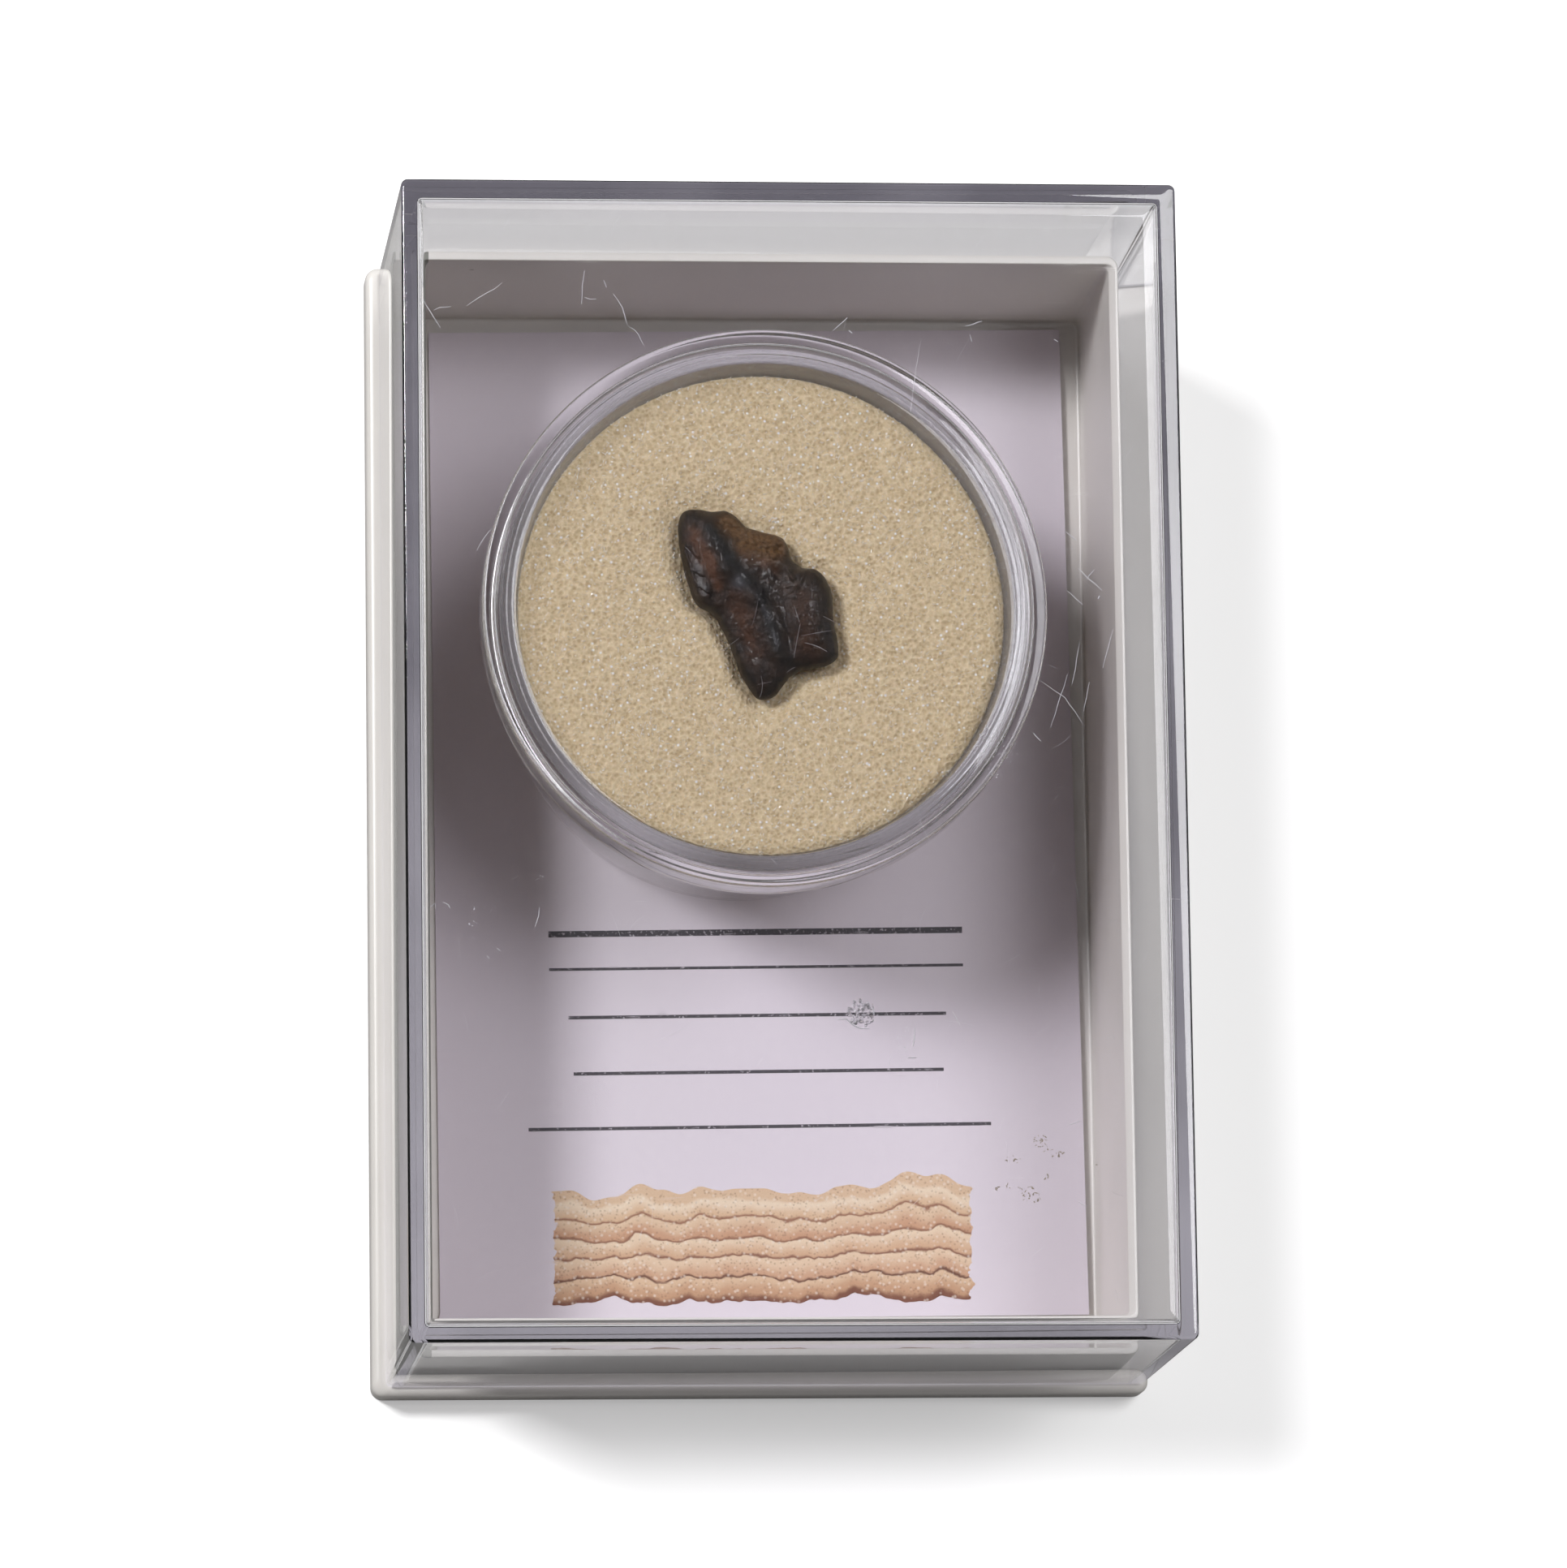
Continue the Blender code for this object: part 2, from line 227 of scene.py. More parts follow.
# Uncoated card: a cool lavender white with soft fibre mottling and a dull, dry surface. Its
# patterns read coordinates in mm, so each scale here is one over a size in mm. Toner grain,
# fibre and paper tooth are drawn several times their real size, so that they show at all.
card_paper, nodes, place = new_finish("uncoated_card_printed")
turned = add(nodes, "Mapping", {
    "Vector": place, "Location": CARD_MIDDLE, "Rotation": (0.0, 0.0, CARD_TURN),
}, vector_type="TEXTURE")
in_mm = add(nodes, "VectorMath", {0: turned, "Scale": 1000.0}, operation="SCALE")
axes = add(nodes, "SeparateXYZ", {"Vector": in_mm})
width_off = add(nodes, "Math", {0: axes.outputs["X"]}, operation="ABSOLUTE")
ink = None
for rule_y, rule_half, rule_thick in RULES:
    off_y = add(nodes, "Math", {0: axes.outputs["Y"], 1: rule_y, 2: rule_thick}, operation="COMPARE")
    within = add(nodes, "Math", {0: width_off, 1: rule_half}, operation="LESS_THAN")
    rule = add(nodes, "Math", {0: off_y, 1: within}, operation="MULTIPLY")
    if ink is None:
        ink = rule
    else:
        ink = add(nodes, "Math", {0: ink, 1: rule}, operation="MAXIMUM")
toner = add(nodes, "TexNoise", {"Vector": in_mm, "Scale": 1 / 0.25, "Detail": 3.0})
toner_gaps = add(nodes, "MapRange", {
    "Value": toner, "From Min": 0.30, "From Max": 0.42,
    "To Min": 0.35, "To Max": 0.92,
})
ink_mask = add(nodes, "Math", {0: ink, 1: toner_gaps}, operation="MULTIPLY")
fibre = add(nodes, "TexNoise", {"Vector": in_mm, "Scale": 1 / 0.625, "Detail": 6.0, "Roughness": 0.7})
blank = add(nodes, "Mix", {
    "Factor": fibre, "A": linear("#DAD2DC"), "B": linear("#E4DDE5"),
}, data_type="RGBA")
# The printed band: a section through sediment, beds of tan and brown between two wavy edges,
# with thin dark partings and the stipple that an ink-jet lays.
along_card = add(nodes, "CombineXYZ", {"X": axes.outputs["X"]})
hills = add(nodes, "TexNoise", {"Vector": along_card, "Scale": 1 / 7.6923, "Detail": 2.0})
hollows = add(nodes, "TexNoise", {"Vector": along_card, "Scale": 1 / 4.762, "Detail": 3.0})
top_edge = add(nodes, "MapRange", {
    "Value": hills, "From Min": 0.3, "From Max": 0.7,
    "To Min": BAND_TOP_Y - 1.9, "To Max": BAND_TOP_Y + 1.1,
})
low_edge = add(nodes, "MapRange", {
    "Value": hollows, "From Min": 0.3, "From Max": 0.7,
    "To Min": BAND_LOW_Y - 0.6, "To Max": BAND_LOW_Y + 0.7,
})
above_low = add(nodes, "Math", {0: axes.outputs["Y"], 1: low_edge}, operation="SUBTRACT")
depth_here = add(nodes, "Math", {0: top_edge, 1: low_edge}, operation="SUBTRACT")
level_in_band = add(nodes, "Math", {0: above_low, 1: depth_here}, operation="DIVIDE")
wobble = add(nodes, "TexNoise", {"Vector": in_mm, "Scale": 1 / 2.0, "Detail": 3.0})
bed_level = add(nodes, "Math", {0: wobble, 1: 0.14, 2: level_in_band}, operation="MULTIPLY_ADD")
beds = add(nodes, "ValToRGB", {"Fac": bed_level})
beds.color_ramp.interpolation = "EASE"
bed_stops = (
    (0.0, "#3E2A28"), (0.09, "#7E5546"), (0.15, "#C39C7E"), (0.27, "#D9BC9F"),
    (0.285, "#6E4A3F"), (0.31, "#CBA488"), (0.45, "#E2C9AE"), (0.465, "#8C6353"),
    (0.49, "#D2AE90"), (0.62, "#E6D0B6"), (0.635, "#946B58"), (0.66, "#C99F82"),
    (0.80, "#E0C6AA"), (0.815, "#9A705C"), (0.84, "#D8B899"), (0.95, "#E9D6BE"),
    (1.0, "#D9BC9F"),
)
beds.color_ramp.elements[0].color = linear(bed_stops[0][1])
beds.color_ramp.elements[1].position = bed_stops[1][0]
beds.color_ramp.elements[1].color = linear(bed_stops[1][1])
for position, code in bed_stops[2:]:
    beds.color_ramp.elements.new(position).color = linear(code)
dots = add(nodes, "TexVoronoi", {"Vector": in_mm, "Scale": 1 / 0.27778})
dot_dark = add(nodes, "MapRange", {
    "Value": dots, "From Min": 0.16, "From Max": 0.36,
    "To Min": 0.38, "To Max": 0.0,
})
stippled = add(nodes, "Mix", {"Factor": dot_dark, "A": beds, "B": linear("#7A5A49")}, data_type="RGBA")
paler = add(nodes, "TexVoronoi", {"Vector": in_mm, "Scale": 1 / 0.43478})
pale_dots = add(nodes, "MapRange", {
    "Value": paler, "From Min": 0.15, "From Max": 0.35,
    "To Min": 0.45, "To Max": 0.0,
})
bedded = add(nodes, "Mix", {"Factor": pale_dots, "A": stippled, "B": linear("#F1E6DA")}, data_type="RGBA")
ragged = add(nodes, "TexNoise", {"Vector": in_mm, "Scale": 1 / 0.9091, "Detail": 4.0})
end_slope = add(nodes, "Math", {0: ragged, 1: 1.6, 2: width_off}, operation="MULTIPLY_ADD")
band_mask = add(nodes, "Math", {0: end_slope, 1: BAND_HALF_X + 0.8}, operation="LESS_THAN")
for limit, side in ((0.0, "GREATER_THAN"), (1.0, "LESS_THAN")):
    kept_in = add(nodes, "Math", {0: level_in_band, 1: limit}, operation=side)
    band_mask = add(nodes, "Math", {0: band_mask, 1: kept_in}, operation="MULTIPLY")
banded = add(nodes, "Mix", {"Factor": band_mask, "A": blank, "B": bedded}, data_type="RGBA")
printed = add(nodes, "Mix", {"Factor": ink_mask, "A": banded, "B": linear("#26252A")}, data_type="RGBA")
tooth_of_paper = add(nodes, "TexNoise", {"Vector": in_mm, "Scale": 1 / 0.16667, "Detail": 3.0})
relief = add(nodes, "Bump", {"Height": tooth_of_paper, "Strength": 0.15, "Distance": 0.04 * MM})
shader = add(nodes, "BsdfPrincipled", {
    "Base Color": printed, "Roughness": 0.72,
    "IOR": 1.45, "Specular IOR Level": 0.35, "Normal": relief,
})
add(nodes, "OutputMaterial", {"Surface": shader})
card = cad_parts["label_card"]
for material_slot in card.material_slots:
    material_slot.material = card_paper

# CUP. The jar's lower half: clear general-purpose polystyrene, injection-moulded, with a
# tapered wall and a small recess under its floor. It stands on the card.
JAR_AXIS = (-1.35, 12.12)
CUP_FOOT_Z = 2.8
CUP_RIM_Z = 27.9
ROUND = 256


def circle_loop(radius, z):
    """A level circle about the jar's axis in mm, as points in metres."""
    loop = []
    for step in range(ROUND):
        angle = 2 * math.pi * step / ROUND
        x, y = JAR_AXIS[0] + radius * math.cos(angle), JAR_AXIS[1] + radius * math.sin(angle)
        loop.append((x * MM, y * MM, z * MM))
    return loop


def clear_plastic(name, tint, murk, clear, hair, wall_shade):
    """Clear polystyrene: IOR 1.59, polished by the mould, with fine handling hairlines.

    Lamps shine straight through it, because thin flat walls throw no real caustics; upright
    walls bend more of that light aside than level plates do, so they cast a darker shade.
    The hairlines come from a grain 0.2 mm wide and 4 mm long, coarser than real ones, so that
    they show. murk is its absorption, clear the share that is clear and not milky, hair the
    hairlines' roughness, and wall_shade what an upright wall passes of a lamp's light.
    """
    material, tree, spot = new_finish(name)
    worn = None
    for turn, fine, seed in ((0.5, 1.0, 3.0), (1.9, 0.8, 9.0), (2.7, 1.2, 15.0)):
        hair_grain = (per_mm(3.846), per_mm(0.2) * fine, per_mm(16.667))
        drawn = add(tree, "Mapping", {
            "Vector": spot, "Rotation": (0.0, 0.0, turn), "Location": (seed, seed, 0.0),
            "Scale": hair_grain,
        })
        line = add(tree, "TexNoise", {"Vector": drawn, "Scale": 1.0, "Detail": 1.0})
        line = add(tree, "MapRange", {"Value": line, "From Min": 0.71, "From Max": 0.80})
        if worn is None:
            worn = line
        else:
            worn = add(tree, "Math", {0: worn, 1: line}, operation="MAXIMUM")
    facing = add(tree, "SeparateXYZ", {"Vector": add(tree, "NewGeometry").outputs["Normal"]})
    tilt = add(tree, "Math", {0: facing.outputs["Z"]}, operation="ABSOLUTE")
    level_face = add(tree, "Math", {0: tilt, 1: 0.98}, operation="GREATER_THAN")
    worn = add(tree, "Math", {0: worn, 1: level_face}, operation="MULTIPLY")
    dull = add(tree, "MapRange", {"Value": worn, "To Min": 0.01, "To Max": 0.01 + hair})
    body = add(tree, "BsdfPrincipled", {
        "Base Color": linear(tint), "Roughness": dull,
        "IOR": 1.59, "Transmission Weight": clear,
    })
    passed = add(tree, "Mix", {
        "Factor": level_face, "A": (wall_shade, wall_shade, wall_shade, 1.0),
        "B": (0.95, 0.945, 0.955, 1.0),
    }, data_type="RGBA")
    through = add(tree, "BsdfTransparent", {"Color": passed})
    ray = add(tree, "LightPath")
    lamp_ray = add(tree, "Math", {
        0: ray.outputs["Is Shadow Ray"], 1: ray.outputs["Is Diffuse Ray"],
    }, operation="MAXIMUM")
    mixed = add(tree, "MixShader", {0: lamp_ray, 1: body, 2: through})
    depth = add(tree, "VolumeAbsorption", {"Color": murk[0], "Density": murk[1]})
    add(tree, "OutputMaterial", {"Surface": mixed, "Volume": depth})
    return material


# Its wall is a little milky, as the pale ring around the foam shows in the photograph.
cup_clear = clear_plastic(
    "polystyrene_cup_wall_scuffed", "#FBFBFD", ((0.30, 0.29, 0.32, 1.0), 5.0), 0.88, 0.08, 0.86
)
cup_rows = (
    (14.0, 3.15, 0),
    (16.2, 3.15, 0.3),
    (16.5, CUP_FOOT_Z, 0.15),
    (17.9, CUP_FOOT_Z, 0.45),
    (19.6, CUP_RIM_Z, 0.35),
    (18.5, CUP_RIM_Z, 0.3),
    (16.85, 3.9, 0.6),
    (14.0, 3.9, 0),
)
cup = stacked_skin("cup_moulding", [circle_loop(*row) for row in softened(cup_rows)], cup_clear)
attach(cup, "root")
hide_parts("jar_base")

# TOOTH OUTLINE. The tooth comes next in the hand, but the foam is dented by it, so its
# outline is set here: points in mm about its middle, seen from above.
TOOTH_MIDDLE = (-1.5, 12.8)
TOOTH_EDGE_Z = 25.5
TOOTH_OUTLINE = (
    (5.45, 0.0), (5.4, 0.7), (5.2, 1.5), (4.8, 2.2), (4.2, 2.7), (3.2, 2.8), (2.5, 3.3),
    (2.3, 3.7), (2.15, 4.4), (1.8, 5.0), (1.2, 5.3), (0.5, 5.4), (-0.1, 5.6), (-0.95, 5.8),
    (-1.45, 6.4), (-1.8, 6.8), (-2.4, 7.1), (-3.0, 7.05), (-3.9, 7.05), (-4.4, 7.2), (-5.2, 7.2),
    (-5.8, 6.8), (-6.0, 6.0), (-5.95, 4.9), (-5.75, 3.6), (-5.5, 2.4), (-5.2, 1.4), (-4.85, 0.3),
    (-4.3, -0.3), (-3.8, -0.4), (-3.15, -1.1), (-2.65, -2.1), (-2.2, -3.0), (-1.8, -4.2),
    (-1.45, -5.3), (-0.85, -6.2), (-0.35, -7.0), (0.35, -7.1), (1.1, -6.8), (1.6, -6.05),
    (2.2, -5.3), (2.95, -4.9), (4.05, -4.7), (5.05, -4.5), (5.8, -3.9), (5.8, -3.3),
    (5.55, -1.7), (5.4, -0.5),
)


def tooth_reach(angles):
    """The outline's distance in mm from the tooth's middle, at each angle."""
    turn = np.array([math.atan2(y, x) for x, y in TOOTH_OUTLINE])
    reach = np.array([math.hypot(x, y) for x, y in TOOTH_OUTLINE])
    order = np.argsort(turn)
    turn, reach = turn[order], reach[order]
    turn = np.concatenate((turn - 2 * math.pi, turn, turn + 2 * math.pi))
    reach = np.tile(reach, 3)
    wrapped = (np.asarray(angles) + math.pi) % (2 * math.pi) - math.pi
    total = 0.0
    for shift, weight in ((-0.03, 0.25), (0.0, 0.5), (0.03, 0.25)):
        total = total + weight * np.interp(wrapped + shift, turn, reach)
    return total


# FOAM PAD. A round plug cut from cream polyether foam and pushed into the cup, which its
# taper holds. It is padding, not a block: the tooth has pressed a shallow dent into it, and
# its open cells show as pinholes, hairs and small glints.
FOAM_AXIS = (-1.45, 12.27)
FOAM_TOP_Z = 25.2
FOAM_RADIUS = 17.7
FOAM_SHOULDER = 0.43
FOAM_FOOT_RADIUS = 17.3
FOAM_FOOT_Z = 14.0
FOAM_DENT = 1.4
FOAM_SIDES = 560
FOAM_RINGS = 120


def cell_noise(x, y, size):
    """Smooth noise in about -1..1 whose bumps are size mm across."""
    return np.array([noise.noise((a / size, b / size, 7.3)) for a, b in zip(x, y)])


def foam_height(x, y):
    """The pad's top in mm: level, dented around the tooth, drawn down at its cut edge."""
    from_x, from_y = x - TOOTH_MIDDLE[0], y - TOOTH_MIDDLE[1]
    share = np.hypot(from_x, from_y) / tooth_reach(np.arctan2(from_y, from_x))
    fade = np.clip((1.35 - share) / 0.75, 0.0, 1.0)
    dent = FOAM_DENT * fade * fade * (3 - 2 * fade)
    rim = np.hypot(x - FOAM_AXIS[0], y - FOAM_AXIS[1]) - FOAM_RADIUS
    edge = 0.40 * np.clip((rim + 0.35) / 0.9, 0.0, 1.0) ** 1.5
    swell = 0.12 * cell_noise(x, y, 5.0) + 0.07 * cell_noise(x, y, 1.4)
    cells = 0.06 * cell_noise(x, y, 0.45) + 0.06 * cell_noise(y, x, 0.26)
    return FOAM_TOP_Z - 0.2 - dent - edge + swell + cells


angles = np.linspace(0.0, 2 * math.pi, FOAM_SIDES, endpoint=False)
fray = 0.10 * cell_noise(20 * np.cos(angles), 20 * np.sin(angles), 0.45)
fray += 0.05 * cell_noise(20 * np.sin(angles), 20 * np.cos(angles), 0.22)
wide = FOAM_RADIUS + FOAM_SHOULDER
foam_loops = []
# Up the sides from the foot to the shoulder, then in over the top, ring by ring.
for level in range(9):
    t = level / 8
    radius = FOAM_FOOT_RADIUS + (wide - FOAM_FOOT_RADIUS) * t - (0.5 if level == 0 else 0.0)
    z = FOAM_FOOT_Z + (FOAM_TOP_Z - 1.05 - FOAM_FOOT_Z) * t
    out = radius + 0.3 * fray * min(1.0, level)
    foam_loops.append(np.stack((
        (JAR_AXIS[0] + out * np.cos(angles)) * MM, (JAR_AXIS[1] + out * np.sin(angles)) * MM,
        np.full(FOAM_SIDES, z * MM)), axis=1))
for ring in range(FOAM_RINGS):
    share = 1.0 - ring / FOAM_RINGS
    out = (wide - 0.03 + 0.4 * fray * max(0.0, 1.0 - ring / 4)) * share
    centre = [FOAM_AXIS[k] + (JAR_AXIS[k] - FOAM_AXIS[k]) * share for k in (0, 1)]
    x, y = centre[0] + out * np.cos(angles), centre[1] + out * np.sin(angles)
    foam_loops.append(np.stack((x * MM, y * MM, foam_height(x, y) * MM), axis=1))

# Polyether foam: matt cream, with painted shade down in its open cells and painted highlights
# where struts catch light. Its cells are 0.3 mm across, and a painted glint of about 0.2 mm stands every
# 0.6 mm or so.
foam_cream, nodes, place = new_finish("polyether_foam_open_cell")
# Painted shade and highlight: darker cream at each cell's middle, paler towards its struts.
cells = add(nodes, "TexVoronoi", {"Vector": place, "Scale": per_mm(0.3125)})
cell_pit_shade_and_strut_light = add(nodes, "MapRange", {"Value": cells, "From Min": 0.05, "From Max": 0.75})
patch = add(nodes, "TexNoise", {
    "Vector": place, "Scale": per_mm(0.3846), "Detail": 4.0, "Roughness": 0.7,
})
tufts = add(nodes, "MapRange", {"Value": patch, "From Min": 0.40, "From Max": 0.60})
tuft_tone = add(nodes, "Mix", {
    "Factor": tufts, "A": linear("#BFA67A"), "B": linear("#FAE8C2"),
}, data_type="RGBA")
cream = add(nodes, "Mix", {
    "Factor": cell_pit_shade_and_strut_light, "A": linear("#C4AE84"), "B": linear("#F0DDB6"),
}, data_type="RGBA")
cream_patchy = add(nodes, "Mix", {"Factor": 0.3, "A": cream, "B": tuft_tone}, data_type="RGBA")
# Painted glints: near-white dots laid into the cream colour, every 0.6 mm or so.
glint = add(nodes, "TexVoronoi", {"Vector": place, "Scale": per_mm(0.5882)})
painted_glint_mask = add(nodes, "MapRange", {
    "Value": glint, "From Min": 0.12, "From Max": 0.20,
    "To Min": 1.0, "To Max": 0.0,
})
cream_with_painted_glints = add(nodes, "Mix", {
    "Factor": painted_glint_mask, "A": cream_patchy,
    "B": linear("#FFFDF4"),
}, data_type="RGBA")
relief = add(nodes, "Bump", {"Height": cells, "Strength": 0.9, "Distance": 0.12 * MM})
shader = add(nodes, "BsdfPrincipled", {
    "Base Color": cream_with_painted_glints, "Roughness": 0.85, "IOR": 1.45,
    "Normal": relief, "Subsurface Weight": 0.4,
    "Subsurface Radius": (1.0, 0.8, 0.55), "Subsurface Scale": 1.0 * MM,
    "Sheen Weight": 0.25, "Sheen Roughness": 0.4,
})
add(nodes, "OutputMaterial", {"Surface": shader})
foam = stacked_skin("foam_pad_cut", foam_loops, foam_cream, sharp=180.0)
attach(foam, "root")
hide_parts("foam_pad")


def scatter_tree(name, own_inputs):
    """A node group that takes a mesh, its own inputs, a seed and a finish."""
    tree = bpy.data.node_groups.new(name, "GeometryNodeTree")
    rows = (("Geometry", "Geometry"), *own_inputs, ("Seed", "Int"), ("Finish", "Material"))
    labels = {}
    for label, kind in rows:
        socket = tree.interface.new_socket(label, in_out="INPUT", socket_type="NodeSocket" + kind)
        labels[label] = socket.identifier
    tree.interface.new_socket("Geometry", in_out="OUTPUT", socket_type="NodeSocketGeometry")
    return tree, labels, add(tree, "NodeGroupInput")


def finish_tree(tree, placed, given):
    """Ends a group: the copies are made real and take their finish."""
    real = add(tree, "GeometryNodeRealizeInstances", {"Geometry": placed})
    coated = add(tree, "GeometryNodeSetMaterial", {"Geometry": real, "Material": given.outputs["Finish"]})
    add(tree, "NodeGroupOutput", {"Geometry": coated})


def grown(name, host, tree, labels, values):
    """A new piece: the mesh that a node group makes on its host."""
    growth = host.modifiers.new(name, "NODES")
    growth.node_group = tree
    for label, value in values.items():
        growth[labels[label]] = value
    bpy.context.view_layer.update()
    depsgraph = bpy.context.evaluated_depsgraph_get()
    mesh = bpy.data.meshes.new_from_object(host.evaluated_get(depsgraph))
    host.modifiers.remove(growth)
    mesh.name = name
    piece = bpy.data.objects.new(name, mesh)
    bpy.context.scene.collection.objects.link(piece)
    return piece


# Loose cell struts on the pad's top: short, stiff, shiny hairs of the same foam. Real ones are
# 0.03 mm thick; these are nearly three times that, so that they show.
struts_tree, struts_labels, given = scatter_tree("scatter_cell_struts", (
    ("Struts per square metre", "Float"), ("Strut length", "Float"),
    ("Strut thickness", "Float"), ("Lowest point", "Float"),
))
where = add(struts_tree, "GeometryNodeInputPosition")
height = add(struts_tree, "SeparateXYZ", {"Vector": where.outputs["Position"]})
on_top = add(struts_tree, "FunctionNodeCompare", {
    "A": height.outputs["Z"], "B": given.outputs["Lowest point"],
}, data_type="FLOAT", operation="GREATER_THAN")
scattered = add(struts_tree, "GeometryNodeDistributePointsOnFaces", {
    "Mesh": given.outputs["Geometry"], "Selection": on_top,
    "Density": given.outputs["Struts per square metre"], "Seed": given.outputs["Seed"],
}, distribute_method="RANDOM")
strut = add(struts_tree, "GeometryNodeMeshCylinder", {
    "Vertices": 3, "Radius": given.outputs["Strut thickness"],
    "Depth": given.outputs["Strut length"],
}, fill_type="NGON")
lean = add(struts_tree, "FunctionNodeRandomValue", {
    "Min": (0.9, 0.0, 0.0), "Max": (1.57, 0.4, 6.28), "Seed": given.outputs["Seed"],
}, data_type="FLOAT_VECTOR")
stretch = add(struts_tree, "FunctionNodeRandomValue", {
    "Min": (0.6, 0.6, 0.35), "Max": (1.3, 1.3, 1.4), "Seed": given.outputs["Seed"],
}, data_type="FLOAT_VECTOR")
stood = add(struts_tree, "GeometryNodeInstanceOnPoints", {
    "Points": scattered, "Instance": strut,
    "Rotation": lean, "Scale": stretch,
})
finish_tree(struts_tree, stood, given)

# A bare strut is smooth foam polymer, so it is glossier than the pad and flashes.
strut_gloss, nodes, place = new_finish("polyether_strut_smooth")
vary = add(nodes, "TexNoise", {"Vector": place, "Scale": per_mm(1.1111)})
pale = add(nodes, "Mix", {
    "Factor": vary, "A": linear("#FFF6DE"), "B": linear("#FFFFFA"),
}, data_type="RGBA")
shader = add(nodes, "BsdfPrincipled", {
    "Base Color": pale, "Roughness": 0.16, "IOR": 1.5,
    "Coat Weight": 0.8, "Coat Roughness": 0.06,
})
add(nodes, "OutputMaterial", {"Surface": shader})

struts = grown("foam_struts", foam, struts_tree, struts_labels, {
    "Struts per square metre": 4.0e6, "Strut length": 0.26 * MM, "Strut thickness": 0.04 * MM,
    "Lowest point": 22.8 * MM, "Seed": 11, "Finish": strut_gloss,
})
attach(struts, "root")

# TOOTH. One cheek tooth of fossil enamel and dentine, its root and crown worn and broken,
# under a clear consolidant that has dried glossy.
TOOTH_SIDES = 440
TOOTH_TOP_RINGS = 150
TOOTH_UNDER_RINGS = 24
FLAKE_WIDE = 1.15
FLAKE_SLOPE = (0.384, -0.068)


def swelling(x, y, middle, size):
    """A round bump, 1 at its middle."""
    return np.exp(-((x - middle[0]) ** 2 + (y - middle[1]) ** 2) / size ** 2)


def along(x, y, start, end, size):
    """A rounded ridge from start to end, 1 on its line."""
    start, end = np.array(start), np.array(end)
    line = end - start
    t = np.clip(((x - start[0]) * line[0] + (y - start[1]) * line[1]) / line.dot(line), 0.0, 1.0)
    off = (x - start[0] - t * line[0]) ** 2 + (y - start[1] - t * line[1]) ** 2
    return np.exp(-off / size ** 2)


def pitted(x, y):
    """Where the spongy broken root shows: a band along the back edge."""
    left = along(x, y, (-2.4, 6.0), (-0.9, 4.9), 0.65)
    right = along(x, y, (-0.9, 4.7), (1.0, 4.2), 0.95)
    return np.clip(1.3 * np.maximum(left, right), 0.0, 1.0)


def raised(x, y, rows):
    """The sum of rows of (height, start, end, size): ridges, or round bumps with no end."""
    total = 0.0 * x
    for height, start, end, size in rows:
        if end is None:
            total += height * swelling(x, y, start, size)
        else:
            total += height * along(x, y, start, end, size)
    return total


# Ridges, knobs and hollows of the crown, in mm about the tooth's middle.
CROWN_RELIEF = (
    (0.45, (-4.0, 5.8), (-2.6, 2.4), 0.80), (0.30, (-2.6, 2.4), (-0.4, 0.4), 0.85),
    (0.36, (-0.3, 0.4), (1.1, -3.6), 0.8), (0.34, (3.7, -0.8), None, 1.9),
    (0.20, (2.9, 1.9), (4.6, 0.9), 0.6), (-0.24, (1.3, 2.2), (2.2, -3.2), 0.5),
    (-0.26, (0.4, 0.6), None, 0.6), (0.32, (-5.4, 6.4), None, 0.42),
    (-0.30, (-4.9, 6.9), (-5.0, 5.7), 0.20), (0.22, (-2.6, 6.5), None, 0.7),
    (0.34, (0.9, 5.2), (2.0, 4.2), 0.38), (-0.45, (1.5, 4.1), None, 0.38),
    (0.30, (1.1, 3.6), None, 0.26), (0.22, (1.9, 2.7), (2.4, 1.7), 0.18),
    (0.20, (2.7, 1.2), (3.4, 2.5), 0.18), (-0.22, (-2.2, -0.6), (0.0, -4.4), 0.55),
)


def crown_height(x, y, share):
    """The upper surface in mm above the tooth's edge.

    After the ridges and hollows comes the left flank, where thin flakes have broken off and
    left steps with glossy faces; then the rough root, the crown's faint lines and the grain.
    """
    shape = 1.4 + raised(x, y, CROWN_RELIEF)
    shape += 0.07 * cell_noise(x, y, 1.5) + 0.06 * cell_noise(y, x, 0.62)
    flank = np.clip(1.7 * along(x, y, (-5.15, 4.1), (-4.2, 0.8), 0.52) - 0.35, 0.0, 1.0)
    broken = y + 0.5 * x + 0.55 * cell_noise(x, y, 0.9)
    flake = (np.floor(broken / FLAKE_WIDE) + 0.5) * FLAKE_WIDE
    facet = 1.52 + FLAKE_SLOPE[0] * (x + 3.95 + 0.14 * flake)
    facet += FLAKE_SLOPE[1] * (y - flake - 2.2)
    shape = shape * (1.0 - flank) + facet * flank
    shape += (1.0 - 0.5 * flank) * 0.045 * cell_noise(x + 9.0, y, 0.3)
    rough = pitted(x, y)
    shape -= rough * (0.14 + 0.26 * cell_noise(x, y, 0.36) + 0.13 * cell_noise(y, x, 0.19))
    line = cell_noise(x * 9.0 + y * 0.8, y * 0.5, 1.6)
    shape += 0.03 * line * np.clip((x - 2.0) / 1.5, 0.0, 1.0)
    shape += (1.0 - 0.5 * flank) * 0.014 * cell_noise(x + 5.0, y, 0.16)
    edge = np.sqrt(np.clip(1.0 - share ** (6.0 + 20.0 * flank), 0.0, 1.0))
    return shape * edge


